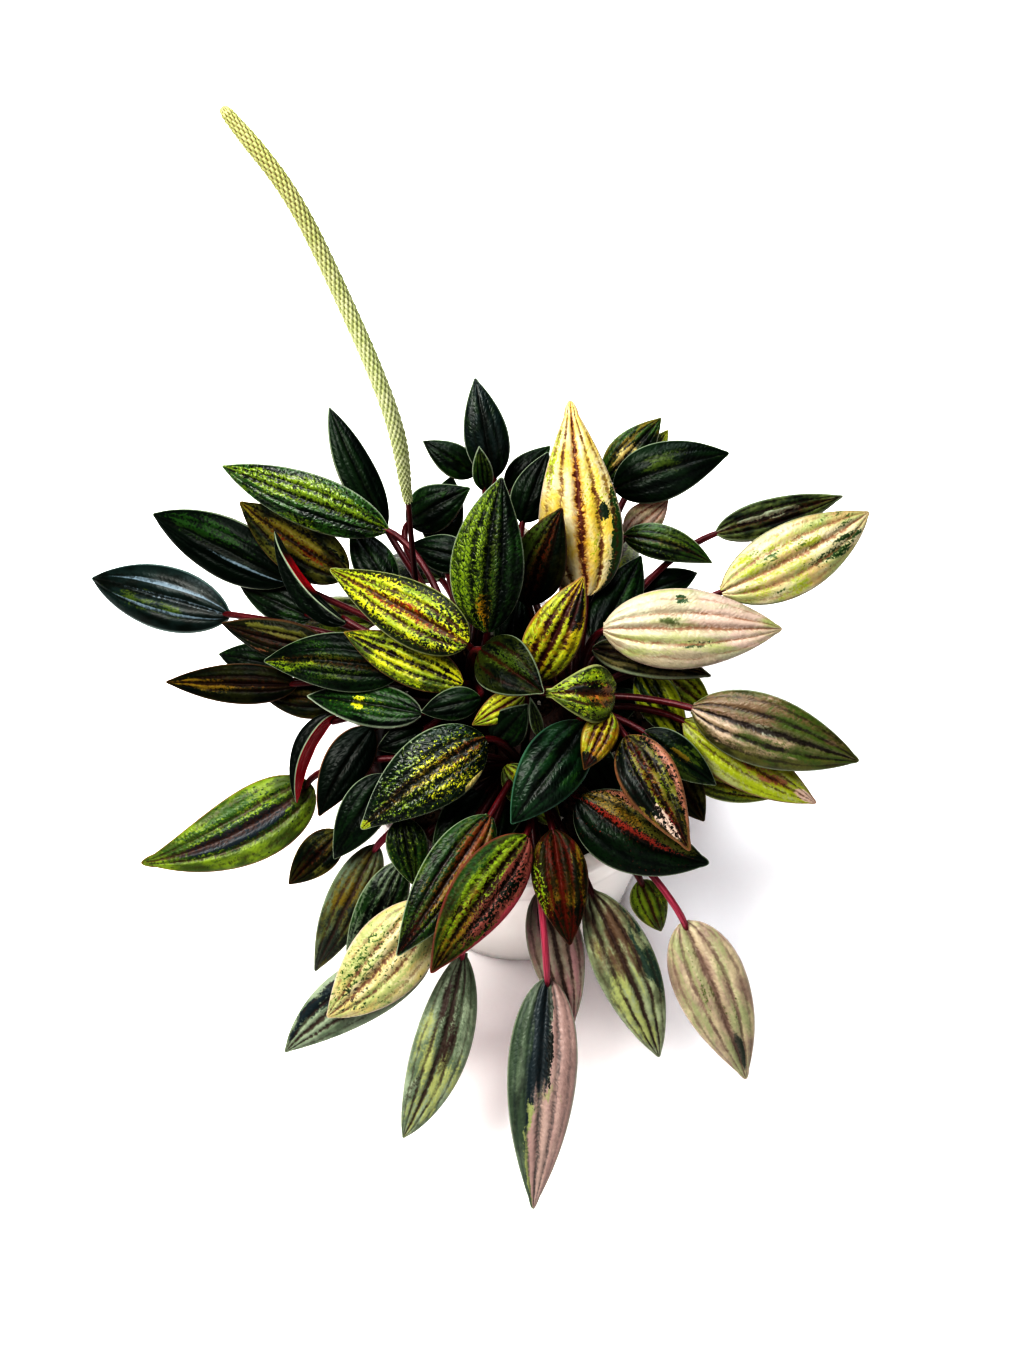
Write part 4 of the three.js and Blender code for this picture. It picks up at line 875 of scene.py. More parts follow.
def blade_faces(rows, columns):
    """A closed blade's faces: both sides as quads, its rims, and fans to the base and the tip."""
    index = np.arange(rows * columns).reshape(rows, columns) + 1
    first, last = 0, rows * columns + 1
    step = last + 1
    a, b, c, d = (part.ravel() for part in (index[:-1, :-1], index[:-1, 1:], index[1:, 1:], index[1:, :-1]))
    left, right = index[:, 0], index[:, -1]
    quads = [(a, b, c, d), (a + step, d + step, c + step, b + step)]
    quads += [(left[:-1], left[1:], left[1:] + step, left[:-1] + step)]
    quads += [(right[1:], right[:-1], right[:-1] + step, right[1:] + step)]
    fans = []
    for i in range(columns - 1):
        fans += [(first, index[0, i + 1], index[0, i]), (index[-1, i], index[-1, i + 1], last)]
        fans += [(first + step, index[0, i] + step, index[0, i + 1] + step)]
        fans += [(index[-1, i + 1] + step, index[-1, i] + step, last + step)]
    for near, far, end in ((left[0], right[0], first), (right[-1], left[-1], last)):
        fans += [(near, near + step, end + step), (near, end + step, end)]
        fans += [(end, end + step, far + step), (end, far + step, far)]
    quads = np.concatenate([np.stack(quad, 1) for quad in quads]).tolist()
    return [face[::-1] for face in (*quads, *fans)]


# Meshes. A part is its points in mm, its faces, and two vectors for each point, leaf and flat.

def mesh_object(name, points, faces, values=None, flats=None, smooth=True):
    mesh = bpy.data.meshes.new(name)
    corners_of_faces = [tuple(int(i) for i in face) for face in faces]
    mesh.from_pydata([tuple(point) for point in np.asarray(points) * MM], [], corners_of_faces)
    mesh.update()
    for key, data in (("leaf", values), ("flat", flats)):
        if data is not None:
            layer = mesh.attributes.new(key, "FLOAT_VECTOR", "POINT")
            layer.data.foreach_set("vector", np.asarray(data, np.float32).ravel())
    if smooth:
        mesh.polygons.foreach_set("use_smooth", [True] * len(mesh.polygons))
    piece = bpy.data.objects.new(name, mesh)
    bpy.context.scene.collection.objects.link(piece)
    return piece


def joined(parts):
    """Several parts as one."""
    faces = []
    start = 0
    for part in parts:
        faces += [tuple(int(i) + start for i in face) for face in part[1]]
        start += len(part[0])
    points, values, flats = (np.concatenate([part[k] for part in parts]) for k in (0, 2, 3))
    return points, faces, values, flats


def tube_part(path, radius, sides=10, seed=0.0):
    """A closed round tube along a path. leaf holds each point's place round it and along it, and flat its
    mm round and along, and a seed."""
    path = np.asarray(path)
    count = len(path)
    ahead = np.gradient(path, axis=0)
    ahead /= np.linalg.norm(ahead, axis=1)[:, None]
    up = np.array([0.3, 0.2, 1.0])
    points, values, flats, faces = [], [], [], []
    along = np.concatenate([[0], np.cumsum(np.linalg.norm(np.diff(path, axis=0), axis=1))])
    radii = np.broadcast_to(radius, (count,))
    for i in range(count):
        if abs(unit(up).dot(ahead[i])) > 0.98:
            up = np.array([1.0, 0.3, 0.0])
        up = unit(up - ahead[i] * up.dot(ahead[i]))
        side = np.cross(ahead[i], up)
        for s in range(sides):
            angle = 2 * math.pi * s / sides
            points.append(path[i] + radii[i] * (math.cos(angle) * up + math.sin(angle) * side))
            values.append((s / sides, i / (count - 1), 0))
            flats.append((angle * radii[i], along[i], seed))
    for i in range(count - 1):
        for s in range(sides):
            a, b = i * sides + s, i * sides + (s + 1) % sides
            faces.append((a, b, b + sides, a + sides))
    faces.append(tuple(range(sides))[::-1])
    faces.append(tuple((count - 1) * sides + s for s in range(sides)))
    return np.array(points), faces, np.array(values), np.array(flats)


def ring(radius, height, sides, turn=0.0):
    """Points round the axis."""
    angles = [2 * math.pi * s / sides + turn for s in range(sides)]
    return [(radius * math.cos(angle), radius * math.sin(angle), height) for angle in angles]


def capped_part(points, sides, seed=0.0, downward=False):
    """A closed shape from a point on the axis, rings of points, and one more point on the axis."""
    last = len(points) - 1
    faces = []
    for s in range(sides):
        n = (s + 1) % sides
        faces.append((0, 1 + n, 1 + s))
        for a in range(1, last - sides, sides):
            faces.append((a + s, a + n, a + sides + n, a + sides + s))
        faces.append((last - sides + s, last - sides + n, last))
    if downward:
        faces = [(face[0], *face[:0:-1]) for face in faces]
    points = np.array(points, float)
    return points, faces, np.zeros_like(points), points + [0, 0, seed]


def lathe_part(profile, sides):
    """A closed turned shape from (radius, height) points that start and end on the axis."""
    points = [(0, 0, profile[0][1])]
    for radius, height in profile[1:-1]:
        points += ring(radius, height, sides)
    return capped_part([*points, (0, 0, profile[-1][1])], sides)


# Stems and stalks

def stem_points(name, t):
    top = STEMS[name]
    foot = np.array([0, 0, CROWN_TOP - 5])
    bend = np.array([top[0] * STEM_LEAN, top[1] * STEM_LEAN, foot[2] + 6])
    return bezier([foot, bend, top], t)


def petiole_path(leaf):
    """The leaf stalk from its stem up and over to the blade's base, clear of the pot's rim."""
    root = stem_points(leaf.stem, mix(LOWEST_ROOT, HIGHEST_ROOT, leaf.level))[0]
    over = OVER_STEEPNESS * max(0, OVER_RIM - leaf.start[2])
    _, ahead, up, _ = spine_at(leaf, 0.0)
    end = leaf.start + ahead[0] * PETIOLE_INTO_BLADE - up[0] * 0.35
    span = np.linalg.norm(end - root)
    rise = PETIOLE_RISE * span if leaf.rise is None else leaf.rise
    outward = np.array([end[0] - root[0], end[1] - root[1], 0])
    before = end - ahead[0] * 0.3 * span
    if over > 0:
        before = end - PETIOLE_DROOP * unit(outward) + np.array([0, 0, over])
    after = root + 0.15 * outward + np.array([0, 0, rise])
    return bezier([root, after, before, end], np.linspace(0, 1, PETIOLE_ROWS))


def petiole_part(leaf):
    t = np.linspace(0, 1, PETIOLE_ROWS)
    radius = mix(PETIOLE_FOOT_RADIUS, PETIOLE_END_RADIUS, np.sqrt(t))
    radius = radius * (1 - 0.35 * np.clip((t - 0.93) / 0.07, 0, 1))
    part = tube_part(petiole_path(leaf), radius, 9, leaf.seed * 3.0)
    part[2][:, 2] = 1.0 if leaf.stem == "front" and leaf.look in ("grey", "cream", "pink") else 0.0
    return part


# Materials, with the scales of their patterns in cells per mm

class Value:
    """What a shader node gives. Sums and products of values lay out the nodes that work them out."""

    def __init__(self, nodes, socket):
        self.nodes = nodes
        self.socket = socket

    def __add__(self, other):
        return self.nodes.math("ADD", self, other)

    def __sub__(self, other):
        return self.nodes.math("SUBTRACT", self, other)

    def __rsub__(self, other):
        return self.nodes.math("SUBTRACT", other, self)

    def __mul__(self, other):
        return self.nodes.math("MULTIPLY", self, other)

    def __truediv__(self, other):
        return self.nodes.math("DIVIDE", self, other)

    def __pow__(self, other):
        return self.nodes.math("POWER", self, other)

    def __abs__(self):
        return self.nodes.math("ABSOLUTE", self)

    __radd__ = __add__
    __rmul__ = __mul__


class Nodes:
    """A short way to lay out one material's nodes."""

    def __init__(self, name):
        self.material = bpy.data.materials.new(name)
        self.material.use_nodes = True
        self.tree = self.material.node_tree
        self.shader = self.tree.nodes["Principled BSDF"]

    def add(self, kind, inputs, output=0, **settings):
        node = self.tree.nodes.new(kind)
        for key, value in settings.items():
            setattr(node, key, value)
        for key, value in inputs.items():
            self.feed(node.inputs[key], value)
        return Value(self, node.outputs[output])

    def feed(self, socket, value):
        if isinstance(value, Value):
            self.tree.links.new(value.socket, socket)
        elif isinstance(value, tuple):
            socket.default_value = (*value, 1)
        else:
            socket.default_value = value

    def math(self, operation, a, b=0.0):
        return self.add("ShaderNodeMath", {0: a, 1: b}, operation=operation)

    def larger(self, a, b):
        return self.math("MAXIMUM", a, b)

    def smaller(self, a, b):
        return self.math("MINIMUM", a, b)

    def ramp(self, value, low, high):
        """0 at low and 1 at high, smoothly."""
        inputs = {"Value": value, "From Min": low, "From Max": high}
        return self.add("ShaderNodeMapRange", inputs, interpolation_type="SMOOTHSTEP")

    def blend(self, share, a, b, kind="MIX"):
        return self.add("ShaderNodeMix", {0: share, 6: a, 7: b}, 2, data_type="RGBA", blend_type=kind)

    def attribute(self, name):
        return self.add("ShaderNodeAttribute", {}, "Vector", attribute_name=name)

    def split(self, vector):
        return [self.add("ShaderNodeSeparateXYZ", {0: vector}, axis) for axis in "XYZ"]

    def join(self, x, y, z):
        return self.add("ShaderNodeCombineXYZ", {0: x, 1: y, 2: z})

    def noise(self, vector, scale, detail=2.0, rough=0.5):
        inputs = {"Vector": vector, "Scale": scale, "Detail": detail, "Roughness": rough}
        return self.add("ShaderNodeTexNoise", inputs)

    def cells(self, vector, scale):
        """How far the border of the nearest cell is."""
        inputs = {"Vector": vector, "Scale": scale}
        return self.add("ShaderNodeTexVoronoi", inputs, feature="DISTANCE_TO_EDGE")

    def finish(self, colour, roughness, height=None, strength=0.3, distance=0.4, specular=0.5):
        self.feed(self.shader.inputs["Base Color"], colour)
        self.feed(self.shader.inputs["Roughness"], roughness)
        self.shader.inputs["Specular IOR Level"].default_value = specular
        if height is not None:
            inputs = {"Height": height, "Strength": strength, "Distance": distance * MM}
            self.feed(self.shader.inputs["Normal"], self.add("ShaderNodeBump", inputs))
        return self.material


def vein_lines(n, look, veins, away, teeth, fade):
    """How near the sunken veins are, and the dark lines in them."""
    near, lines = 1.0, 0.0
    for place, width, depth in veins:
        gap = abs(away - place)
        near = n.smaller(near, gap + 0.12 * (1 - depth))
        wide = width * look.get("vein_width", 1.0)
        line = n.ramp(gap + teeth, wide * 1.25, wide * 0.35)
        if place:
            line = line * ((0.35 + fade * 0.65) * min(1.0, 0.35 + depth))
        lines = n.larger(lines, line)
    return near, lines


def patch_share(n, layer, i, place, speck, net, ridge):
    """How strongly one layer of variegation covers each place."""
    q, t, x, y, seed = place
    cloud = n.noise(n.join(x + 31.0 * (i + 1), y / layer["streak"], seed), layer["size"], 2.0, 0.6)
    spread = cloud * (1 - layer["grain"]) + speck * layer["grain"]
    if layer["zone"]:
        along, across, long, wide = layer["zone"]
        dt = ((t - along) * (1 / long)) ** 2.0
        dq = ((q - across) * (1 / wide)) ** 2.0
        spread = spread + n.larger(1.0 - (dt + dq), -1.0) * layer["pull"]
    level = 0.5 + (0.5 - layer["cover"]) * 0.36
    share = n.ramp(spread, level - layer["soft"], level + layer["soft"])
    if layer["broken"]:
        share = share * (1.0 - n.ramp(net, 0.14, 0.03) * layer["broken"])
    if layer["crest"]:
        share = share * (ridge * layer["crest"] + (1 - layer["crest"]))
    return share


def leaf_material(name, look, veins):
    n = Nodes(name)
    q, t, side = n.split(n.attribute("leaf"))
    flat = n.attribute("flat")
    x, y, seed = n.split(flat)
    lower = n.ramp(side, 40.0, 60.0)
    away = abs(q + (n.noise(flat, 0.16, 2.0) - 0.5) * 0.16)
    speck = n.noise(n.join(x, y * 0.7, seed), 1.5, 2.0, 0.65)
    teeth = (n.noise(n.join(x * 0.45, y, seed), 0.9, 3.0, 0.6) - 0.5) * look.get("teeth", 0.3)
    net = n.cells(n.join(x, y - abs(x) * 0.7, seed), 0.62)
    fade = n.ramp(n.noise(n.join(x * 0.3, y * 0.3, seed), 0.6), 0.36, 0.56)
    near, vein = vein_lines(n, look, veins, away, teeth, fade)

    # The two grounds, the darker one in the furrows partly the veins' own colour and partly painted shade,
    # and the patches over them
    ridge = n.ramp(near + teeth, 0.01, look["furrow"])
    broad = n.noise(n.join(x, y * 0.5, seed), 0.2, 3.0, 0.6)
    colour = n.blend(ridge * n.ramp(broad, 0.35, 0.62), look["ground"], look["crest"])
    for i, layer in enumerate(look["patches"]):
        share = patch_share(n, layer, i, (q, t, x, y, seed), speck, net, ridge)
        colour = n.blend(share, colour, layer["paint"])

    # The wash about the midrib, the band inside the margin, and the net of small veins
    wash = n.ramp(away, look["rib_width"] * 2.4, 0.0) * n.ramp(speck, 0.35, 0.6)
    colour = n.blend(wash * look["rib_share"], colour, look["rib"])
    if look["band_share"]:
        start = look.get("band_from", 0.76)
        band = n.ramp(abs(q) + (speck - 0.5) * 1.1, start, start + 0.08)
        colour = n.blend(band * look["band_share"], colour, look["band"])
    crack = n.ramp(net, 0.16, 0.03) * n.ramp(near, 0.17, 0.02)
    colour = n.blend(crack * look.get("cracks", 0.5), colour, look["vein"])
    colour = n.blend(vein * look["vein_share"], colour, look["vein"])

    # Margin, tip, tone and lower side
    inset = (1.0 - abs(q)) * (side - lower * 100.0)
    rim = n.larger(n.ramp(inset, look.get("margin_width", 0.55), 0.2), n.ramp(t, 0.985, 0.997))
    colour = n.blend(rim * look["margin_share"], colour, look["margin"])
    tone = 0.72 + n.noise(flat, 0.5, 4.0, 0.6) * 0.56
    tone = n.join(tone, tone, tone)
    colour = n.blend(1.0, colour, tone, "MULTIPLY")
    bright = tuple(channel * 1.6 for channel in look["under"])
    below = n.blend(1.0, n.blend(vein * 0.5, look["under"], bright), tone, "MULTIPLY")
    # Outside under_from to under_until the lower side takes the crest colour: painted shade.
    if "under_until" in look:
        first, last = look["under_from"], look["under_until"]
        shown = n.ramp(t, first, first + 0.15) * n.ramp(t, last + 0.1, last - 0.1)
        below = n.blend(shown, look["crest"], below)
    colour = n.blend(lower, colour, below)

    # Fine relief: the skin swells between the small veins
    height = n.ramp(net, 0.0, 0.35) + speck * 0.5
    shine = (look["gloss"] - 0.07) + speck * 0.24
    return n.finish(colour, shine, height, look.get("bump", 0.25), 0.3, look["specular"])


def stalk_material():
    n = Nodes("stalk_red")
    turn, along, pale = n.split(n.attribute("leaf"))
    streak = n.ramp(n.noise(n.join(turn * 9.0, along * 3.0, 0.0), 2.0, 3.0), 0.35, 0.65)
    speck = n.noise(n.attribute("flat"), 1.2, 3.0)
    deep = n.blend(streak, rgb(32, 2, 4), rgb(80, 6, 10))
    rosy = n.blend(streak, rgb(160, 20, 40), rgb(280, 55, 90))
    colour = n.blend(pale * n.ramp(along, 0.45, 0.75), deep, rosy)
    # Near-black towards the stem: painted shade for the plant's dark middle.
    colour = n.blend(n.ramp(along, 0.75, 0.2) * 0.8, colour, rgb(14, 4, 3))
    colour = n.blend(n.ramp(speck, 0.55, 0.7) * 0.25, colour, rgb(200, 50, 50))
    return n.finish(colour, 0.42, speck, strength=0.25, distance=0.3, specular=0.3)


def stem_material():
    n = Nodes("stem_brown_red")
    bark = n.noise(n.attribute("flat"), 0.7, 4.0, 0.65)
    colour = n.blend(n.ramp(bark, 0.35, 0.65), rgb(14, 4, 3), rgb(40, 14, 8))
    return n.finish(colour, 0.6, bark, strength=0.6, distance=0.8)


def spike_material():
    n = Nodes("spike_pale_green")
    _, along, dot = n.split(n.attribute("leaf"))
    flat = n.attribute("flat")
    colour = n.blend(n.ramp(n.noise(flat, 0.25, 3.0), 0.3, 0.7), rgb(300, 328, 160), rgb(395, 405, 255))
    # The pale middles of the florets are painted highlights on their tops.
    colour = n.blend(n.ramp(dot, 0.42, 0.12), colour, rgb(450, 455, 330))
    # Darker and yellower towards the tip, painted shade against the strong key light there; the dots also
    # turn brown towards the tip.
    towards_tip = n.ramp(along, 0.3, 0.85)
    colour = n.blend(towards_tip * 0.65, colour, rgb(225, 222, 74))
    spot = n.blend(towards_tip, rgb(130, 142, 46), rgb(90, 58, 18))
    colour = n.blend(n.ramp(dot, 0.85, 1.0), colour, spot)
    return n.finish(colour, 0.6, n.noise(flat, 2.5, 3.0), strength=0.3, distance=0.2)


def pot_material():
    n = Nodes("pot_white_glaze")
    flat = n.attribute("flat")
    cloud = n.noise(flat, 0.035, 4.0)
    speck = n.noise(flat, 0.9, 2.0)
    colour = n.blend(n.ramp(cloud, 0.3, 0.7), rgb(660, 645, 615), rgb(740, 730, 705))
    colour = n.blend(n.ramp(speck, 0.70, 0.74) * 0.25, colour, rgb(450, 400, 340))
    wavy = n.noise(flat, 0.06, 2.0) + speck * 0.05
    return n.finish(colour, 0.16 + cloud * 0.12, wavy, strength=0.35, distance=0.8)


def soil_material():
    n = Nodes("soil_dark")
    flat = n.attribute("flat")
    x, y, _ = n.split(flat)
    lump = n.noise(flat, 0.35, 5.0, 0.65)
    fibre = n.noise(n.join(x * 0.3, y, 0.0), 1.8, 4.0)
    colour = n.blend(n.ramp(lump, 0.35, 0.65), rgb(10, 6, 4), rgb(45, 26, 15))
    colour = n.blend(n.ramp(fibre, 0.6, 0.72) * 0.6, colour, rgb(120, 75, 40))
    return n.finish(colour, 0.9, lump, strength=0.9, distance=1.2, specular=0.2)


def grit_material():
    n = Nodes("soil_white_grit")
    pore = n.noise(n.attribute("flat"), 1.6, 4.0)
    colour = n.blend(n.ramp(pore, 0.4, 0.6), rgb(320, 290, 250), rgb(560, 540, 490))
    return n.finish(colour, 0.85, pore, strength=0.8, distance=0.5)


def floor_material():
    n = Nodes("floor_white")
    place = n.add("ShaderNodeTexCoord", {}, "Object")
    colour = n.blend(n.noise(place, 3.0, 2.0), rgb(860, 860, 855), rgb(900, 900, 900))
    away = n.add("ShaderNodeVectorMath", {0: place}, "Value", operation="LENGTH")
    n.feed(n.shader.inputs["Alpha"], n.ramp(away, FLOOR_END * MM, FLOOR_FADE_FROM * MM))
    return n.finish(colour, 0.7)


# Pieces

def settle(piece, material, slot, *nodes):
    """Finishes a piece: its material, what it rides on and the CAD nodes it stands for. slot is not used.
    """
    piece.data.materials.append(material)
    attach(piece, WHOLE_BODY)
    if nodes:
        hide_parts(*nodes)


def make_leaves(leaves):
    """One piece for each large leaf, and one for the small leaves of each look."""
    for leaf in leaves:
        if leaf.small:
            continue
        piece = mesh_object(f"blade_{leaf.name}", *blade_part(leaf))
        look = {**LOOKS[leaf.look], **SPECIAL.get(leaf.name, {})}
        material = leaf_material(f"leaf_{leaf.name}", look, leaf.veins)
        settle(piece, material, f"leaf_{leaf.look}", f"leaf_{leaf.name}")
    for kind, look in LOOKS.items():
        own = [leaf for leaf in leaves if leaf.small and leaf.look == kind]
        if own:
            part = joined([blade_part(leaf, SMALL_BLADE_ROWS) for leaf in own])
            piece = mesh_object(f"small_blades_{kind}", *part)
            settle(piece, leaf_material(f"leaf_small_{kind}", look, own[0].veins), f"leaf_{kind}")


def make_stems(leaves):
    parts = [petiole_part(leaf) for leaf in leaves]
    stalk = smooth_path([STEMS["left"] - [0, 0, 4], *map(at_pixel, STALK_PATH)], 40)
    parts.append(tube_part(stalk, np.linspace(STALK_RADIUS, STALK_RADIUS - 0.25, len(stalk)), 12, 5.0))
    settle(mesh_object("leaf_stalks", *joined(parts)), stalk_material(), "stalks", "stems")

    foot = SOIL_TOP - SEAT_DEPTH + 0.3
    profile = [(0, foot), (CROWN_RADIUS - 1, foot), (CROWN_RADIUS - 0.2, foot + 3)]
    profile += [(CROWN_RADIUS - 0.2, CROWN_TOP - 3.5), (CROWN_RADIUS - 1, CROWN_TOP - 1.5)]
    profile += [(CROWN_RADIUS - 3, CROWN_TOP - 0.2), (0, CROWN_TOP)]
    trunks = [lathe_part(profile, 28)]
    t = np.linspace(0, 1, 30)
    knots = 1 + 0.10 * np.cos(2 * math.pi * t * 6) ** 4
    radius = STEM_RADIUS * (1 - STEM_TAPER * t) * knots
    trunks += [tube_part(stem_points(name, t), radius, 16, i * 9.0) for i, name in enumerate(STEMS)]
    settle(mesh_object("stems_and_crown", *joined(trunks)), stem_material(), "stalks", "stems")


def make_spike():
    """A tapered tube with its florets as bumps on a slanting lattice. The third value of leaf is how far
    each point is from its floret's middle."""
    path = smooth_path(list(map(at_pixel, SPIKE_PATH)), SPIKE_ROWS)
    points, faces, values, flats = tube_part(path, 1.0, SPIKE_SIDES)
    t = np.repeat(np.linspace(0, 1, SPIKE_ROWS), SPIKE_SIDES)
    foot = np.sin(np.clip(t / SPIKE_FOOT_SHARE, 0, 1) * math.pi / 2)
    tip = np.clip((t - 1 + SPIKE_TIP_SHARE) / SPIKE_TIP_SHARE, 0, 1)
    tip = tip * tip * (3 - 2 * tip)
    taper = mix(SPIKE_FOOT_RADIUS, SPIKE_RADIUS, foot) - (SPIKE_RADIUS - SPIKE_TIP_RADIUS) * tip**2
    ends = np.minimum(1, np.sqrt(np.clip((1 - t) * 50 + 0.1, 0, 1)))
    turn = values[:, 0] * FLORETS_AROUND
    climb = flats[:, 1] / FLORET_PITCH * 0.5
    da, db = (np.abs(slant - np.round(slant)) for slant in (turn + climb, turn - climb))
    far = np.clip(np.hypot(da, db) * 1.9, 0, 1)
    radius = taper * ends + FLORET_BUMP * (1 - far**2)
    values[:, 2] = far
    centre = np.repeat(path, SPIKE_SIDES, axis=0)
    piece = mesh_object("spike_florets", centre + (points - centre) * radius[:, None], faces, values, flats)
    settle(piece, spike_material(), "flower_spike", "flower_spike")


def pot_profile():
    """The pot's outline from the middle of its underside, up over its rim and down to its inner floor."""
    top, rim, body = POT_HEIGHT, POT_TOP_RADIUS - 0.25, POT_TOP_RADIUS - RIM_OUT - 0.25
    inside, inner_foot = body - POT_WALL, POT_FOOT_RADIUS - POT_WALL
    band = top - RIM_BAND
    profile = [(0, 1.2), (24, 1.2), (30, 1.1), (32.5, 0.35), (34.4, 0.02), (35.4, 0.5)]
    profile += [(POT_FOOT_RADIUS, 1.6)]
    outer = np.linspace(0, 1, 15)[1:]
    profile += [(mix(POT_FOOT_RADIUS, body - 0.6, t), mix(1.6, band - 2.2, t)) for t in outer]
    profile += [(body - 0.35, band - 1.5), (body + 0.5, band - 0.9), (rim - 0.5, band - 0.4)]
    profile += [(rim, band + 0.5), (rim, band + 4), (rim, top - 3), (rim - 0.2, top - 1.4)]
    profile += [(rim - 0.9, top - 0.4), (rim - 2, top)]
    profile += [(inside + 1.6, top), (inside + 0.6, top - 0.5), (inside, top - 1.6)]
    inner = np.linspace(0, 1, 7)[1:]
    profile += [(mix(inside, inner_foot, t), mix(top - 1.6, POT_FLOOR + 2, t)) for t in inner]
    return profile + [(inner_foot - 2, POT_FLOOR), (0, POT_FLOOR)]


def make_pot():
    pot = mesh_object("pot_glazed", *lathe_part(pot_profile(), POT_SIDES))
    for i in range(DRAIN_COUNT):
        drill(pot, around(360 * (i + 0.25) / DRAIN_COUNT, DRAIN_CIRCLE, 0))
    settle(pot, pot_material(), "pot", "pot")


def drill(piece, place):
    """Cuts an upright drain hole through the piece's foot."""
    ends = [(0, -2), (DRAIN_RADIUS, -2), (DRAIN_RADIUS, POT_FLOOR + 2), (0, POT_FLOOR + 2)]
    points, *rest = lathe_part(ends, 32)
    cutter = mesh_object("cutter", points + place, *rest)
    change = piece.modifiers.new("drain", "BOOLEAN")
    change.operation = "DIFFERENCE"
    change.solver = "EXACT"
    change.object = cutter
    cut = piece.evaluated_get(bpy.context.evaluated_depsgraph_get())
    piece.data = bpy.data.meshes.new_from_object(cut)
    piece.modifiers.clear()
    bpy.data.objects.remove(cutter)


def soil_radius(height):
    low, high = POT_FLOOR + 2, POT_HEIGHT - 1.5
    share = (height - low) / (high - low)
    return mix(POT_FOOT_RADIUS - POT_WALL, POT_TOP_RADIUS - RIM_OUT - POT_WALL, share) - 0.6


def soil_lump(x, y):
    wave = math.sin(x * 0.31 + 1) * math.cos(y * 0.27) + 0.5 * math.sin(y * 0.71)
    crumb = 0.5 * math.sin(x * 1.7 + y * 0.9) * math.sin(y * 1.9 - x * 0.6)
    return SOIL_BUMP * (wave + (crumb + 0.3 * math.sin(x * 3.1) * math.sin(y * 2.7)))


def make_soil():
    """A lumpy plug of soil round the root crown's seat, with loose crumbs and a little white grit on it."""
    seat, top_radius = CROWN_RADIUS + 0.6, soil_radius(SOIL_TOP)
    foot = POT_FLOOR + 2.4
    points = [(0, 0, SOIL_TOP - SEAT_DEPTH)]
    points += ring(seat, SOIL_TOP - SEAT_DEPTH, SOIL_SIDES) + ring(seat, SOIL_TOP - 5, SOIL_SIDES)
    for k, radius in enumerate(np.linspace(seat, top_radius, SOIL_RINGS)):
        fade = 0.4 if k in (0, SOIL_RINGS - 1) else 1.0
        level = ring(radius, SOIL_TOP - 0.3, SOIL_SIDES)
        points += [(x, y, z + fade * soil_lump(x, y)) for x, y, z in level]
    points += ring(top_radius, SOIL_TOP - 3, SOIL_SIDES) + ring(soil_radius(foot), foot, SOIL_SIDES)
    plug = capped_part([*points, (0, 0, foot)], SOIL_SIDES, downward=True)
    settle(mesh_object("soil_plug", *plug), soil_material(), "soil", "soil")

    draw = random.Random(11)
    crumbs, grit = [], []
    for i in range(CRUMB_COUNT):
        angle, r = draw.uniform(0, 2 * math.pi), top_radius * math.sqrt(draw.uniform(0.03, 0.92))
        if r < seat + 2:
            continue
        x, y = r * math.cos(angle), r * math.sin(angle)
        white = i % GRIT_EVERY == 0
        size = draw.uniform(0.6, 1.2) if white else draw.uniform(0.5, 1.9)
        place = (x, y, SOIL_TOP + soil_lump(x, y) + 0.1 * size)
        (grit if white else crumbs).append(crumb_part(draw, place, size))
    settle(mesh_object("soil_crumbs", *joined(crumbs)), soil_material(), "soil")
    settle(mesh_object("soil_grit", *joined(grit)), grit_material(), "soil")


def crumb_part(draw, place, size):
    """One rough lump: a small ball of two rings with its points pushed in and out."""
    ball = [(0, 0, -1)]
    for z in (-0.5, 0.45):
        ball += ring(math.sqrt(1 - z * z), z, 6, z)
    stretch = np.array([draw.uniform(0.7, 1.3), draw.uniform(0.7, 1.3), draw.uniform(0.5, 0.9)])
    points = np.array([np.array(p) * stretch * draw.uniform(0.75, 1.2) for p in [*ball, (0, 0, 1)]])
    return capped_part(points * size + np.array(place), 6)


# Stage

def background(nodes, colour, strength):
    node = nodes.new("ShaderNodeBackground")
    node.inputs["Color"].default_value = (*colour, 1)
    node.inputs["Strength"].default_value = strength
    return node.outputs[0]


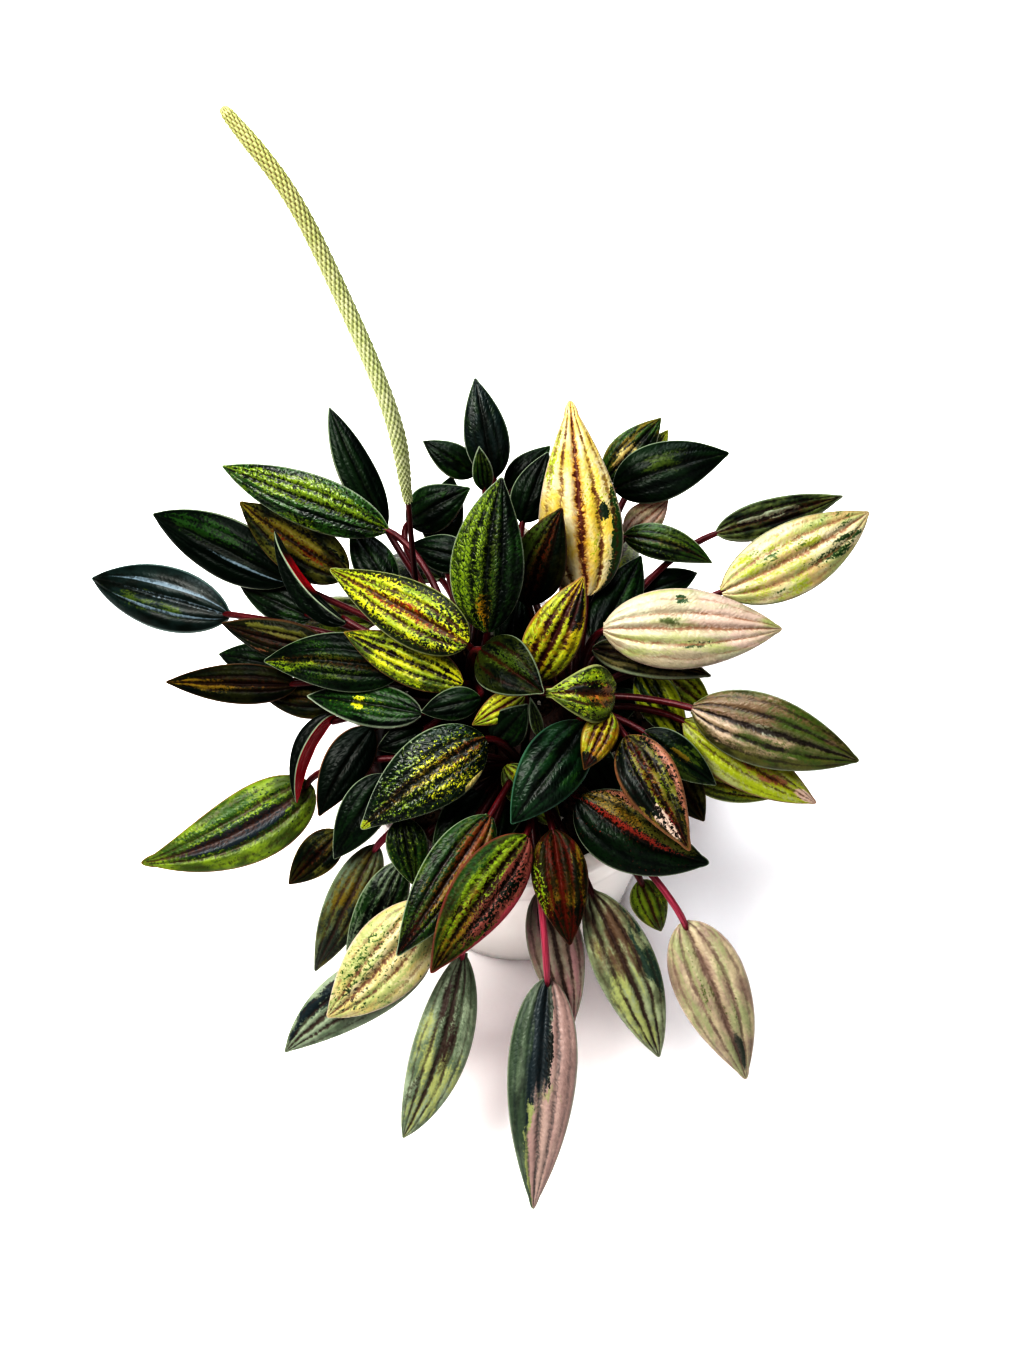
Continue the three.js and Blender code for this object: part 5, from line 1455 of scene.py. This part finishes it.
def make_stage():
    """A pale floor that fades out into a pale backdrop, and three soft lights."""
    square = [(x * FLOOR_END, y * FLOOR_END, FLOOR_LEVEL) for x, y in ((-1, -1), (1, -1), (1, 1), (-1, 1))]
    floor = mesh_object("floor", square, [(0, 1, 2, 3)], smooth=False)
    floor.data.materials.append(floor_material())

    world = bpy.data.worlds.new("studio")
    world.use_nodes = True
    nodes, links = world.node_tree.nodes, world.node_tree.links
    either = nodes.new("ShaderNodeMixShader")
    links.new(nodes.new("ShaderNodeLightPath").outputs["Is Camera Ray"], either.inputs[0])
    links.new(background(nodes, (0.95, 0.97, 1.0), GLOW), either.inputs[1])
    links.new(background(nodes, (1.0, 1.0, 1.0), 1.0), either.inputs[2])
    links.new(either.outputs[0], nodes["World Output"].inputs["Surface"])
    bpy.context.scene.world = world

    for name, place, size, power, tint in LIGHTS:
        light = bpy.data.lights.new(name, "AREA")
        light.energy = power
        light.color = tint
        light.size = size
        add_aimed(name, light, np.array(place), VIEW_TARGET * MM)


def add_aimed(name, data, place, target):
    """A light or camera at a place, turned to a target."""
    thing = bpy.data.objects.new(name, data)
    thing.location = place
    thing.rotation_euler = Vector(target - place).to_track_quat("-Z", "Y").to_euler()
    bpy.context.scene.collection.objects.link(thing)
    return thing


def make_camera():
    data = bpy.data.cameras.new("camera")
    data.sensor_width = SENSOR
    data.lens = SENSOR * (VIEW_DISTANCE / MM_PER_PIXEL) / PICTURE_HEIGHT
    data.clip_end = 20.0
    bpy.context.scene.camera = add_aimed("camera", data, EYE * MM, VIEW_TARGET * MM)


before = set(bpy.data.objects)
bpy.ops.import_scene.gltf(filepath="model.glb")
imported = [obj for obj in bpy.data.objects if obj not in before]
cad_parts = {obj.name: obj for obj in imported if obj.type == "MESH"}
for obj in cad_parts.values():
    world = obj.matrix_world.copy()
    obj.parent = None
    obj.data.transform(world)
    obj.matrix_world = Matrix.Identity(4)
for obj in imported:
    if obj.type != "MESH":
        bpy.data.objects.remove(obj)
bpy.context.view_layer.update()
bpy.context.scene.view_settings.view_transform = "Standard"
bpy.context.scene.view_settings.look = "Very High Contrast"
bpy.context.scene.view_settings.gamma = 0.88
make_camera()
make_stage()
plant = all_leaves()
make_leaves(plant)
make_stems(plant)
make_spike()
make_pot()
make_soil()
